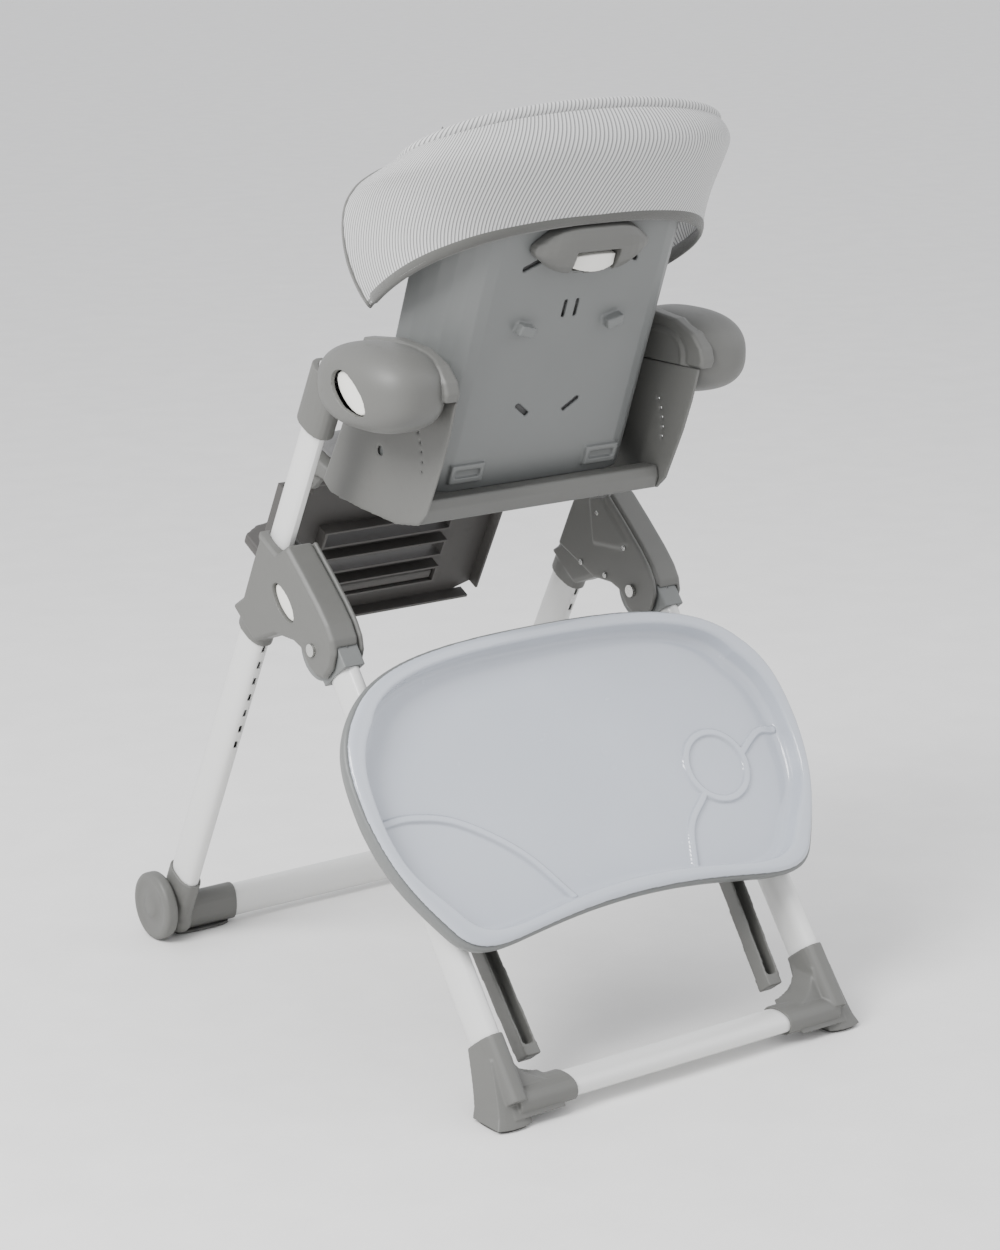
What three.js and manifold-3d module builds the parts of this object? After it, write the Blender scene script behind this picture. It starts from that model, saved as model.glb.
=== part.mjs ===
// A folding baby high chair on an A-frame of oval tubes: a seat that slides on the front legs,
// a reclining back with a fabric hood, a calf rest with a foot plate, and a tray hung on the rear legs.
// Millimetres. +Z is up, the child faces -Y, and the child's left is +X. The origin is on the floor,
// under the middle of the chair.
import * as THREE from "three";
import { mergeVertices } from "three/addons/utils/BufferGeometryUtils.js";
import Module from "manifold-3d";

const wasm = await Module();
wasm.setup();

// ---------------------------------------------------------------- driving dimensions
const RAD = Math.PI / 180;
const GAP = 0.35; // between pieces that are fixed together
const RUN = 0.8; // between pieces that move past each other

const DEPTH = 782; // front of the wheels to the back of the rear feet
const LEG_X = 230; // middle of each leg, from the middle of the chair
const FRONT_LEAN = 27 * RAD; // front legs, tops leaning back
const REAR_LEAN = 37.3 * RAD; // rear legs, tops leaning forward

const TUBE = { wide: 48, thick: 24, wall: 1.8 }; // oval tube of the frame
const SLIDE_TUBE = { wide: 39, thick: 17, wall: 1.5 }; // oval tube that slides inside the front legs
const REAR_BAR_FLAT = 24; // the rear crossbar is the same tube laid flat

const WHEEL = { radius: 43, width: 17, dome: 2, outerX: LEG_X + 35, axleRadius: 4, cap: 3 };
const FRONT_BAR_Z = 27; // height of the front crossbar's axis
const FRONT_FOOT_REACH = 71; // up the front leg
const FOOT_WALL = 3;
const SLEEVE_END_X = { front: LEG_X - 84, rear: LEG_X - 77 }; // inner end of each foot's crossbar sleeve
const PAD = { thick: 3, clear: 1 }; // non-slip pads under the feet

const REAR_BAR = { y: 362, z: 24 };
const REAR_FOOT_REACH = 62; // up the rear leg from the crossbar
const SHOE = { tipX: LEG_X + 31, innerX: LEG_X - 16, top: 96 };

const PIVOT = { y: 18, z: 455, radius: 5 }; // fold pivot of the rear legs
const KNUCKLE = { radius: 37, axisOff: 12, length: 41, width: 28 };
const HUB = {
  outerX: LEG_X + 22, innerX: LEG_X - 22, coverThick: 6, collarWall: 3.6,
  sleeveStart: 462, tubeStop: 545, top: 599, // up the front leg
};

const SEAT_TRAVEL = 150; // along the front legs
const HEIGHT_STEPS = 7; // height positions
const HEIGHT_SLOT = { wide: 5, tall: 11 };
const SLEEVE = { start: 761, end: 806, wall: 4 }; // armrest's sleeve on the sliding tube
const SLIDE_TUBE_SPAN = [330, 838];

const ARM = { x: 212, y: 103, z: 764, rx: 52, ry: 86, rz: 48, power: 2.5, skin: 4, seam: 755 };
const PANEL = { lip: 5, lipWide: 8 }; // rolled front edge of each side panel
const TUB = { x: 171, wall: 3.5, floorZ: 602, floor: 4, frontY: -150, panHalf: 150, barY: 91, barTop: 632 };
const RECLINE = { y: 38.4, z: 677.3, pin: 6 };
const RECLINE_STEP = 7.8 * RAD;
const RECLINE_HOLES = { radius: 82, size: 6, count: 5, first: 24 * RAD };

const BACK_LEAN = 20.4 * RAD;
const BACK = { footY: 85.6, footZ: 627, length: 408, flat: 110, side: 53, wing: 88, thick: 4 };
const BACK_SLOTS = { upper: 284, middle: 225, anchor: 207, lower: 100 }; // heights up the back
const BACK_CLIP = { x: 94.5, h: 28, proud: 5 };
const HANDLE = { half: 78, h: BACK.length - 102, tall: 54, proud: 26 };
const HOOD = {
  lowHalf: 204, topHalf: 234, turn: 112 * RAD, thick: 6,
  low: BACK.length - 66, top: BACK.length + 42, proud: 17, curl: 46,
};
const HOOD_FRONT = { low: BACK.length - 228, top: BACK.length - 64, depth: 134, bulge: 55 };
const WEB = { wide: 25, thick: 2 };
const BUCKLE = { x: 0, y: -66, z: 660, half: 24, deep: 40, tall: 18, button: 9 };
const HEAD = { half: 152, reach: 90, near: 34, thick: 20, low: BACK.length - 158, top: BACK.length + 2 };
const CALF = { hingeY: -151, hingeZ: 606, half: 171, length: 234, thick: 5, rim: 16 };
const CALF_HINGE = { lugIn: 118, lugOut: 134, radius: 4 };
const CALF_SLOTS = { half: 92, tall: 19, pitch: 42, first: 100 };
const FOOTREST = { half: 118, depth: 118, thick: 14 };

const TRAY = { half: 312, top: -431, bottom: -72, dip: 20, seat: 27, rim: 62, floor: 5 };
const TRAY_HOOK = { t: -250, half: 22 };
const TRAY_CUP = { x: -186, t: -223, radius: 42 };
const TRAY_ARM = { x: 190, toe: 15, thick: 20, deep: 24, reach: 38, start: -330, level: -14 };
const TRAY_ARM_POSTS = [-300, -150];

// ---------------------------------------------------------------- materials
function finish(colour, roughness, metalness = 0) {
  return new THREE.MeshStandardMaterial({ color: colour, roughness, metalness });
}
const WHITE_TUBE = finish(0xe6e6e2, 0.35, 0.1);
const GREY_PLASTIC = finish(0x979793, 0.55);
const PALE_PLASTIC = finish(0xa6a8a7, 0.5);
const DARK_PLASTIC = finish(0x757472, 0.6);
const IVORY = finish(0xecebe2, 0.4);
const RUBBER = finish(0x4a4a48, 0.9);
const STEEL = finish(0xb8b8b6, 0.3, 1);
const STRIPED = finish(0xc4c5c4, 0.9);
const PADDING = finish(0x8b8c8c, 0.95);
const WEBBING = finish(0x6e6f70, 0.9);
const CLEAR_LINER = finish(0xdde1e6, 0.25);

// ---------------------------------------------------------------- solids
function solid(geometry) {
  const bare = geometry.index ? geometry.toNonIndexed() : geometry.clone();
  bare.deleteAttribute("normal");
  bare.deleteAttribute("uv");
  const merged = mergeVertices(bare, 1e-3);
  return new wasm.Manifold(
    new wasm.Mesh({
      numProp: 3,
      vertProperties: merged.attributes.position.array,
      triVerts: new Uint32Array(merged.index.array),
    }),
  );
}

function geometryOf(made) {
  const { vertProperties, triVerts } = made.getMesh();
  const geometry = new THREE.BufferGeometry();
  geometry.setAttribute("position", new THREE.BufferAttribute(vertProperties, 3));
  geometry.setIndex(new THREE.BufferAttribute(triVerts, 1));
  const faceted = geometry.toNonIndexed();
  faceted.computeVertexNormals();
  return faceted;
}

const join = (first, ...rest) => rest.reduce((all, piece) => all.add(piece), first);
const cut = (first, ...rest) => rest.reduce((left, piece) => left.subtract(piece), first);
const moved = (geometry, x, y, z) => geometry.translate(x, y, z);

function node(name, made, material) {
  const mesh = new THREE.Mesh(made.isBufferGeometry ? made : geometryOf(made), material);
  mesh.name = name;
  return mesh;
}

// An oval of the given full sizes; power 2 is an ellipse, and more is squarer.
function ovalPoints(wide, tall, steps = 20, power = 2.4) {
  const bend = (value) => Math.sign(value) * Math.abs(value) ** (2 / power);
  return Array.from({ length: steps }, (_, i) => {
    const turn = (i / steps) * 2 * Math.PI;
    return new THREE.Vector2((wide / 2) * bend(Math.cos(turn)), (tall / 2) * bend(Math.sin(turn)));
  });
}

// A direction in the plane of a leg, given as its lean from the vertical towards +Y.
const along = (lean) => new THREE.Vector3(0, Math.sin(lean), Math.cos(lean));

// A frame whose Z runs along the direction, whose X is the chair's X, placed at a point.
function legFrame(origin, direction) {
  const x = new THREE.Vector3(1, 0, 0);
  const y = new THREE.Vector3().crossVectors(direction, x).normalize();
  return new THREE.Matrix4().makeBasis(x, y, direction.clone().normalize()).setPosition(origin);
}

// A straight length of an oval section in a frame, from z0 to z1 along it, thick in X and wide across.
function ovalBar(frame, thick, wide, z0, z1, steps = 20, power = 2.4) {
  const shape = new THREE.Shape(ovalPoints(thick, wide, steps, power));
  const bar = new THREE.ExtrudeGeometry(shape, { depth: z1 - z0, bevelEnabled: false });
  return solid(moved(bar, 0, 0, z0).applyMatrix4(frame));
}

function hollowBar(frame, tube, z0, z1) {
  const outer = ovalBar(frame, tube.thick, tube.wide, z0, z1);
  const inner = ovalBar(frame, tube.thick - 2 * tube.wall, tube.wide - 2 * tube.wall, z0 - 1, z1 + 1);
  return outer.subtract(inner);
}

// A plate cut to an outline of [y, z] points, between two values of x, with softened edges.
function plateX(outline, x0, x1, soft = 0, curved = 1) {
  const shape = new THREE.Shape(outline.map(([y, z]) => new THREE.Vector2(y, z)));
  const made = new THREE.ExtrudeGeometry(shape, {
    depth: x1 - x0 - 2 * soft,
    bevelEnabled: soft > 0,
    bevelThickness: soft,
    bevelSize: soft,
    bevelOffset: -soft,
    bevelSegments: curved,
  });
  moved(made, 0, 0, x0 + soft);
  made.applyMatrix4(new THREE.Matrix4().makeBasis(
    new THREE.Vector3(0, 1, 0), new THREE.Vector3(0, 0, 1), new THREE.Vector3(1, 0, 0)));
  return solid(made);
}

function rodX(y, z, radius, x0, x1, steps = 20) {
  const rod = new THREE.CylinderGeometry(radius, radius, x1 - x0, steps);
  return solid(moved(rod.rotateZ(-90 * RAD), (x0 + x1) / 2, y, z));
}

function rodZ(x, y, radius, z0, z1, steps = 16) {
  const rod = new THREE.CylinderGeometry(radius, radius, z1 - z0, steps);
  return solid(moved(rod.rotateX(90 * RAD), x, y, (z0 + z1) / 2));
}

function box(x0, x1, y0, y1, z0, z1) {
  const made = new THREE.BoxGeometry(x1 - x0, y1 - y0, z1 - z0);
  return solid(moved(made, (x0 + x1) / 2, (y0 + y1) / 2, (z0 + z1) / 2));
}

// An egg of three half-sizes about a centre; power 2 is an ellipsoid, and more is boxier.
function egg(x, y, z, rx, ry, rz, power = 2, around = 20, up = 12) {
  const ball = new THREE.SphereGeometry(1, around, up);
  const place = ball.attributes.position;
  const p = new THREE.Vector3();
  for (let i = 0; i < place.count; i += 1) {
    p.fromBufferAttribute(place, i);
    const grow = (Math.abs(p.x) ** power + Math.abs(p.y) ** power + Math.abs(p.z) ** power) ** (-1 / power);
    place.setXYZ(i, p.x * grow * rx, p.z * grow * ry, p.y * grow * rz);
  }
  // Y and Z changed places above, so each face is turned round.
  const flipped = ball.toNonIndexed();
  const turned = flipped.attributes.position;
  for (let i = 0; i < turned.count; i += 3) {
    const second = new THREE.Vector3().fromBufferAttribute(turned, i + 1);
    const third = new THREE.Vector3().fromBufferAttribute(turned, i + 2);
    turned.setXYZ(i + 1, third.x, third.y, third.z);
    turned.setXYZ(i + 2, second.x, second.y, second.z);
  }
  return solid(moved(flipped, x, y, z));
}

// A block of nx by ny by nz cells, each corner sent where the function says. u, v and w run -1 to 1.
// A function that mirrors the block gets its faces turned round.
function formed(nx, ny, nz, place) {
  const block = new THREE.BoxGeometry(2, 2, 2, nx, ny, nz);
  const position = block.attributes.position;
  for (let i = 0; i < position.count; i += 1) {
    const [x, y, z] = place(position.getX(i), position.getY(i), position.getZ(i));
    position.setXYZ(i, x, y, z);
  }
  const made = solid(block);
  if (made.volume() > 0) return made;
  block.index.array.reverse();
  return solid(block);
}

// ---------------------------------------------------------------- places
const FRONT_BAR = { y: -DEPTH / 2 + WHEEL.radius, z: FRONT_BAR_Z };
const FRONT_DIR = along(FRONT_LEAN);
const FRONT_LEG = legFrame(new THREE.Vector3(LEG_X, FRONT_BAR.y, FRONT_BAR.z), FRONT_DIR);
const REAR_DIR = along(-REAR_LEAN);
const REAR_LEG = legFrame(new THREE.Vector3(LEG_X, REAR_BAR.y, REAR_BAR.z), REAR_DIR);
const HEIGHT_PITCH = SEAT_TRAVEL / (HEIGHT_STEPS - 1);

// A point on the front leg: s along it from the crossbar, n behind its axis, as [y, z].
function onFrontLeg(s, n) {
  return [
    FRONT_BAR.y + s * Math.sin(FRONT_LEAN) + n * Math.cos(FRONT_LEAN),
    FRONT_BAR.z + s * Math.cos(FRONT_LEAN) - n * Math.sin(FRONT_LEAN),
  ];
}

// A point by the rear leg: a down it from the fold pivot, b behind the pivot, as [y, z].
function fromPivot(a, b) {
  return [
    PIVOT.y + a * Math.sin(REAR_LEAN) + b * Math.cos(REAR_LEAN),
    PIVOT.z - a * Math.cos(REAR_LEAN) + b * Math.sin(REAR_LEAN),
  ];
}

// A point of the back: x across, h up it from its foot, d in front of its rear face.
function onBack(x, h, d) {
  return [
    x,
    BACK.footY + h * Math.sin(BACK_LEAN) - d * Math.cos(BACK_LEAN),
    BACK.footZ + h * Math.cos(BACK_LEAN) + d * Math.sin(BACK_LEAN),
  ];
}

// A point of the calf rest: x across, h down it from its hinge, d in front of its rear face.
function onCalf(x, h, d) {
  return [
    x,
    CALF.hingeY - h * Math.sin(FRONT_LEAN) - d * Math.cos(FRONT_LEAN),
    CALF.hingeZ - h * Math.cos(FRONT_LEAN) + d * Math.sin(FRONT_LEAN),
  ];
}

// The tray lies parallel to the rear legs: x across, t down the legs, n behind the legs' axes.
const TRAY_ORIGIN = [314, 86.5];
function onTray(x, t, n) {
  return [
    x,
    TRAY_ORIGIN[0] + t * Math.sin(REAR_LEAN) + n * Math.cos(REAR_LEAN),
    TRAY_ORIGIN[1] - t * Math.cos(REAR_LEAN) + n * Math.sin(REAR_LEAN),
  ];
}

// ---------------------------------------------------------------- front frame
function frontLegTube() {
  const start = FRONT_FOOT_REACH - 48;
  let tube = hollowBar(FRONT_LEG, TUBE, start, HUB.tubeStop);
  const slot = new THREE.BoxGeometry(HEIGHT_SLOT.wide, TUBE.wide / 2, HEIGHT_SLOT.tall);
  for (let step = 0; step < HEIGHT_STEPS; step += 1) {
    const s = HUB.sleeveStart - 1 - HEIGHT_SLOT.tall / 2 - step * HEIGHT_PITCH;
    tube = tube.subtract(solid(moved(slot.clone(), 0, TUBE.wide / 2, s).applyMatrix4(FRONT_LEG)));
  }
  return tube;
}

// The crossbars run along X, so their frame's Z is X and the oval's long side is set by the sizes.
function crossFrame(bar) {
  return new THREE.Matrix4().makeBasis(
    new THREE.Vector3(0, 1, 0), new THREE.Vector3(0, 0, 1), new THREE.Vector3(1, 0, 0),
  ).setPosition(0, bar.y, bar.z);
}

function crossbar(bar, deep, tall, half) {
  const frame = crossFrame(bar);
  const outer = ovalBar(frame, deep, tall, -half, half);
  const inner = ovalBar(frame, deep - 2 * TUBE.wall, tall - 2 * TUBE.wall, -half - 1, half + 1);
  return outer.subtract(inner);
}

function frontFoot() {
  const grow = 2 * FOOT_WALL;
  const socket = ovalBar(FRONT_LEG, TUBE.thick + grow, TUBE.wide + grow, 4, FRONT_FOOT_REACH);
  const sleeve = ovalBar(crossFrame(FRONT_BAR), TUBE.thick + grow, TUBE.wide + grow - 6,
    SLEEVE_END_X.front, LEG_X);
  const heel = egg(LEG_X - 1, FRONT_BAR.y + 2, 32, TUBE.thick / 2 + FOOT_WALL, 30, 28, 2.6, 16, 10);
  const legBore = ovalBar(FRONT_LEG, TUBE.thick + 2 * GAP, TUBE.wide + 2 * GAP,
    FRONT_FOOT_REACH - 48 - GAP, FRONT_FOOT_REACH + 1);
  const barBore = ovalBar(crossFrame(FRONT_BAR), TUBE.thick + 2 * GAP, TUBE.wide - 6 + 2 * GAP,
    SLEEVE_END_X.front - 1, SLEEVE_END_X.front + 40 + GAP);
  const axleBore = rodX(FRONT_BAR.y, WHEEL.radius, WHEEL.axleRadius + GAP, LEG_X, LEG_X + 60);
  const floorCut = box(100, 300, -500, -200, -50, PAD.clear + PAD.thick + GAP);
  return cut(join(socket, sleeve, heel), legBore, barBore, axleBore, floorCut);
}

function frontFootPad() {
  const outline = new THREE.Shape(ovalPoints(76, 26, 20, 3));
  const pad = new THREE.ExtrudeGeometry(outline, { depth: PAD.thick, bevelEnabled: false });
  return solid(moved(pad, SLEEVE_END_X.front + 46, FRONT_BAR.y, PAD.clear));
}

function wheelAxle() {
  const end = WHEEL.outerX - WHEEL.dome - WHEEL.cap - RUN;
  return rodX(FRONT_BAR.y, WHEEL.radius, WHEEL.axleRadius, LEG_X + GAP, end, 16);
}

function frontWheel() {
  const r = WHEEL.radius;
  const w = WHEEL.width;
  const { dome, cap } = WHEEL;
  const bore = WHEEL.axleRadius + RUN;
  const profile = [
    [0, w - cap], [bore, w - cap], [bore, 2], [14, 2], [15, 0], [r - 12, 0], [r - 10, 2], [r - 3, 2],
    [r, 5], [r, w - 4], [r - 3, w - 1], [r - 6, w], [12, w + 0.7 * dome], [0, w + dome],
  ].map(([radius, x]) => new THREE.Vector2(radius, x));
  const disc = new THREE.LatheGeometry(profile, 28);
  return solid(moved(disc.rotateZ(-90 * RAD), WHEEL.outerX - w - dome, FRONT_BAR.y, r));
}

// Outline of the leg hub: a rounded triangle from the front leg's collar to the fold pivot.
const HUB_OUTLINE = [
  [-93, 561], [-107, 535], [-131, 486], onFrontLeg(HUB.sleeveStart + 22, -29),
  onFrontLeg(HUB.sleeveStart + 12, 27), [-60, 456], [-25, 456], [-7, 450], [8, 432], [24, 424],
  [42, 426], [55, 440], [61, 458], [58, 474], [48, 490], [30, 509], [0, 536], [-34, 565],
  onFrontLeg(HUB.top, 22), onFrontLeg(HUB.top, -22),
];

// The space that the rear leg's knuckle turns in, open behind and below.
function knuckleSpace(x0, x1) {
  const reach = KNUCKLE.radius + RUN + 1;
  const head = rodX(PIVOT.y, PIVOT.z, reach, x0, x1, 40);
  const rear = plateX([
    fromPivot(0, reach), fromPivot(90, reach), fromPivot(90, -reach), fromPivot(0, -reach)], x0, x1);
  const near = TUBE.wide / 2 - KNUCKLE.axisOff + 6;
  const folded = plateX([[0, near], [0, -reach], [-90, -reach], [-90, near]].map(([a, b]) => [
    PIVOT.y + a * Math.sin(FRONT_LEAN) - b * Math.cos(FRONT_LEAN),
    PIVOT.z + a * Math.cos(FRONT_LEAN) + b * Math.sin(FRONT_LEAN),
  ]), x0, x1);
  return join(head, rear, folded);
}

function triggerWindow(centre, angle, long, short, x0, x1) {
  const outline = ovalPoints(long, short, 20, 2).map((point) => {
    const turned = point.clone().rotateAround(new THREE.Vector2(), angle);
    return [centre[0] + turned.x, centre[1] + turned.y];
  });
  return plateX(outline, x0, x1);
}

const FOLD_TRIGGER = { centre: [-42, 497], angle: -42 * RAD, long: 54, short: 26 };
const HEIGHT_TRIGGER = { centre: [112, 763], angle: -32 * RAD, long: 66, short: 36 };

function legHub() {
  const inside = HUB.innerX + HUB.coverThick + GAP;
  const shell = plateX(HUB_OUTLINE, inside, HUB.outerX, 4, 1);
  const collar = ovalBar(FRONT_LEG, TUBE.thick + 2 * HUB.collarWall, TUBE.wide + 2 * HUB.collarWall,
    HUB.sleeveStart, HUB.tubeStop - 20);
  const legBore = ovalBar(FRONT_LEG, TUBE.thick + 2 * GAP, TUBE.wide + 2 * GAP,
    HUB.sleeveStart - 1, HUB.tubeStop + GAP);
  const slideBore = ovalBar(FRONT_LEG, SLIDE_TUBE.thick + 2 * RUN, SLIDE_TUBE.wide + 2 * RUN,
    HUB.tubeStop, HUB.top + 40);
  const side = (KNUCKLE.width + 2 * RUN) / 2;
  const window = triggerWindow(FOLD_TRIGGER.centre, FOLD_TRIGGER.angle, FOLD_TRIGGER.long,
    FOLD_TRIGGER.short, HUB.outerX - 21, HUB.outerX + 5);
  const pinBore = rodX(PIVOT.y, PIVOT.z, PIVOT.radius + GAP, HUB.innerX - 5, HUB.outerX + 5);
  return cut(join(shell, collar), legBore, slideBore,
    knuckleSpace(LEG_X - side, LEG_X + side), window, pinBore);
}

function legHubCover() {
  const flat = HUB_OUTLINE.filter((_, i) => i !== 3 && i !== 4);
  const plate = plateX(flat, HUB.innerX, HUB.innerX + HUB.coverThick, 2);
  const raised = plateX([[-66, 556], [-44, 560], [10, 512], [-4, 503], [-58, 500]],
    HUB.innerX - 2, HUB.innerX + 3, 1.5);
  const pinBore = rodX(PIVOT.y, PIVOT.z, PIVOT.radius + GAP, HUB.innerX - 9, HUB.outerX + 5);
  const legBore = ovalBar(FRONT_LEG, TUBE.thick + 2 * GAP, TUBE.wide + 2 * GAP, HUB.sleeveStart - 1,
    HUB.tubeStop + 80);
  const side = (KNUCKLE.width + 2 * RUN) / 2;
  return cut(join(plate, raised), pinBore, legBore, knuckleSpace(LEG_X - side, LEG_X + side));
}

function foldPin() {
  return join(
    rodX(PIVOT.y, PIVOT.z, PIVOT.radius, HUB.innerX - 2, HUB.outerX - 0.5, 16),
    rodX(PIVOT.y, PIVOT.z, PIVOT.radius + 2.5, HUB.innerX - 4.5, HUB.innerX - GAP, 16),
    rodX(PIVOT.y, PIVOT.z, PIVOT.radius + 2.5, HUB.outerX + GAP, HUB.outerX + 3, 16),
    rodX(PIVOT.y, PIVOT.z, PIVOT.radius, HUB.outerX - 2, HUB.outerX + 1, 16),
  );
}

function ovalTrigger(spec, face, deep) {
  const outline = ovalPoints(spec.long - 2 * RUN, spec.short - 2 * RUN, 20, 2).map((point) => {
    const turned = point.clone().rotateAround(new THREE.Vector2(), spec.angle);
    return [spec.centre[0] + turned.x, spec.centre[1] + turned.y];
  });
  return plateX(outline, face - deep, face, 1.5);
}

// ---------------------------------------------------------------- rear frame
function rearLegLength() {
  const dy = PIVOT.y - REAR_BAR.y;
  const dz = PIVOT.z - REAR_BAR.z;
  return dy * REAR_DIR.y + dz * REAR_DIR.z;
}

function knuckle() {
  const { radius, axisOff, length, width } = KNUCKLE;
  const half = TUBE.wide / 2 + 2.5;
  const x0 = LEG_X - width / 2;
  const x1 = LEG_X + width / 2;
  const head = rodX(PIVOT.y, PIVOT.z, radius, x0, x1, 32);
  const neck = plateX([
    fromPivot(0, Math.min(radius, axisOff + half)), fromPivot(0, axisOff - half),
    fromPivot(length, axisOff - half), fromPivot(length, axisOff + half),
  ], x0, x1);
  const end = rearLegLength();
  const tubeBore = ovalBar(REAR_LEG, TUBE.thick + 2 * GAP, TUBE.wide + 2 * GAP, 0, end - 12);
  const pinBore = rodX(PIVOT.y, PIVOT.z, PIVOT.radius + RUN, x0 - 1, x1 + 1);
  return cut(join(head, neck), tubeBore, pinBore);
}

function rearLegTube() {
  return hollowBar(REAR_LEG, TUBE, 26, rearLegLength() - 12 - GAP);
}

function rearFoot() {
  const grow = 2 * FOOT_WALL;
  const socket = ovalBar(REAR_LEG, TUBE.thick + grow, TUBE.wide + grow, -8, REAR_FOOT_REACH + 8);
  const sleeve = ovalBar(crossFrame(REAR_BAR), TUBE.wide + grow - 4, REAR_BAR_FLAT + grow,
    SLEEVE_END_X.rear, LEG_X);
  const back = DEPTH / 2;
  const shoe = formed(6, 4, 6, (u, v, w) => {
    const up = (w + 1) / 2;
    const outer = SHOE.tipX - (SHOE.tipX - LEG_X - 15) * up ** 0.6;
    const inner = SHOE.innerX + 2 * up;
    const x = (inner + outer) / 2 + ((outer - inner) / 2) * u;
    const round = Math.sqrt(1 - 0.35 * u * u * v * v);
    const middle = back - 29 - up * 34;
    const y = middle + v * round * (29 - 3 * up);
    return [x, y, PAD.thick + GAP + up * (SHOE.top - 30)];
  });
  const web = plateWeb();
  const legBore = ovalBar(REAR_LEG, TUBE.thick + 2 * GAP, TUBE.wide + 2 * GAP, 26 - GAP,
    REAR_FOOT_REACH + 20);
  const barBore = ovalBar(crossFrame(REAR_BAR), TUBE.wide - 4 + 2 * GAP, REAR_BAR_FLAT + 2 * GAP,
    SLEEVE_END_X.rear - 1, SLEEVE_END_X.rear + 40 + GAP);
  const floorCut = box(100, 300, 200, 500, -50, PAD.thick + GAP);
  return cut(join(socket, sleeve, shoe, web), legBore, barBore, floorCut);
}

// The curved rib between the rear leg's socket and the crossbar's sleeve.
function plateWeb() {
  const shape = new THREE.Shape();
  shape.moveTo(LEG_X + 8, REAR_BAR.z - 12);
  shape.lineTo(LEG_X + 8, REAR_BAR.z + 52);
  shape.lineTo(LEG_X - 10, REAR_BAR.z + 52);
  shape.quadraticCurveTo(LEG_X - 16, REAR_BAR.z + 18, SLEEVE_END_X.rear + 18, REAR_BAR.z + 13);
  shape.lineTo(SLEEVE_END_X.rear + 18, REAR_BAR.z - 12);
  const made = new THREE.ExtrudeGeometry(shape, { depth: 34, bevelEnabled: false, curveSegments: 8 });
  const lean = Math.tan(REAR_LEAN);
  const upright = new THREE.Matrix4().set(1, 0, 0, 0, 0, -lean, -1, 17, 0, 1, 0, 0, 0, 0, 0, 1);
  return solid(made.applyMatrix4(upright).translate(0, REAR_BAR.y + REAR_BAR.z * lean, 0));
}

function rearFootPad() {
  const outline = new THREE.Shape(ovalPoints(42, 48, 20, 3.5));
  const pad = new THREE.ExtrudeGeometry(outline, { depth: PAD.thick, bevelEnabled: false });
  return solid(moved(pad, (SHOE.tipX + SHOE.innerX) / 2, DEPTH / 2 - 29, 0));
}

// ---------------------------------------------------------------- seat
function slideTube() {
  return hollowBar(FRONT_LEG, SLIDE_TUBE, SLIDE_TUBE_SPAN[0], SLIDE_TUBE_SPAN[1]);
}

function armrest() {
  const { x, y, z, rx, ry, rz, power, skin } = ARM;
  const hollow = cut(egg(x, y, z, rx - skin, ry - skin, rz - skin, power, 14, 8),
    box(0, TUB.x + skin, -200, 400, 500, 900));
  const body = cut(egg(x, y, z, rx, ry, rz, power, 24, 14), hollow);
  const sleeve = ovalBar(FRONT_LEG, SLIDE_TUBE.thick + 4 * SLEEVE.wall, SLIDE_TUBE.wide + 4 * SLEEVE.wall,
    SLEEVE.start, SLEEVE.end + 30);
  const tubeBore = ovalBar(FRONT_LEG, SLIDE_TUBE.thick + 2 * GAP, SLIDE_TUBE.wide + 2 * GAP,
    SLEEVE.start - 1, SLIDE_TUBE_SPAN[1] + GAP);
  const window = triggerWindow(HEIGHT_TRIGGER.centre, HEIGHT_TRIGGER.angle, HEIGHT_TRIGGER.long,
    HEIGHT_TRIGGER.short, 244, 300);
  const inside = TUB.x - TUB.wall;
  const cap = plateX([
    [20, ARM.seam], [188, ARM.seam], [192, 764], [188, 778], [172, 794], [140, 807], [90, 812], [30, 806],
  ], inside, inside + 20, 3, 1);
  const besidePanel = box(0, TUB.x + GAP, -200, 400, 500, ARM.seam);
  const besideBack = box(0, inside, -200, 400, 500, 900);
  return cut(join(body, sleeve, cap), tubeBore, window, besidePanel, besideBack);
}

// Outline of each side panel of the seat, under its armrest.
const PANEL_OUTLINE = [
  [-81, 623], [-65, 611], [-3, 603], [68, 598], [112, 604], [128, 618], [140, 642], [158, 678],
  [173, 715], [186, ARM.seam - GAP], [-14, ARM.seam - GAP], [-20, 735], [-42, 690],
];

function sidePanel() {
  const inside = TUB.x - TUB.wall;
  const { lip, lipWide } = PANEL;
  const frontEdge = PANEL_OUTLINE.slice(-3).reverse();
  const rolled = [PANEL_OUTLINE[0], ...frontEdge, ...frontEdge.toReversed().map(([y, z]) => [y + lip, z]),
    [PANEL_OUTLINE[0][0] + lip, PANEL_OUTLINE[0][1]]];
  let panel = join(plateX(PANEL_OUTLINE, inside, TUB.x, 1.5), plateX(rolled, inside - lipWide, TUB.x - 1));
  for (let i = 0; i < RECLINE_HOLES.count; i += 1) {
    const turn = RECLINE_HOLES.first - i * RECLINE_STEP;
    const y = RECLINE.y + RECLINE_HOLES.radius * Math.cos(turn);
    const z = RECLINE.z + RECLINE_HOLES.radius * Math.sin(turn);
    panel = panel.subtract(rodX(y, z, RECLINE_HOLES.size / 2, inside - 1, TUB.x - 1.2, 10));
  }
  return cut(panel, rodX(RECLINE.y, RECLINE.z, RECLINE.pin + RUN, inside - 1, TUB.x - 1.2, 20));
}

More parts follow.
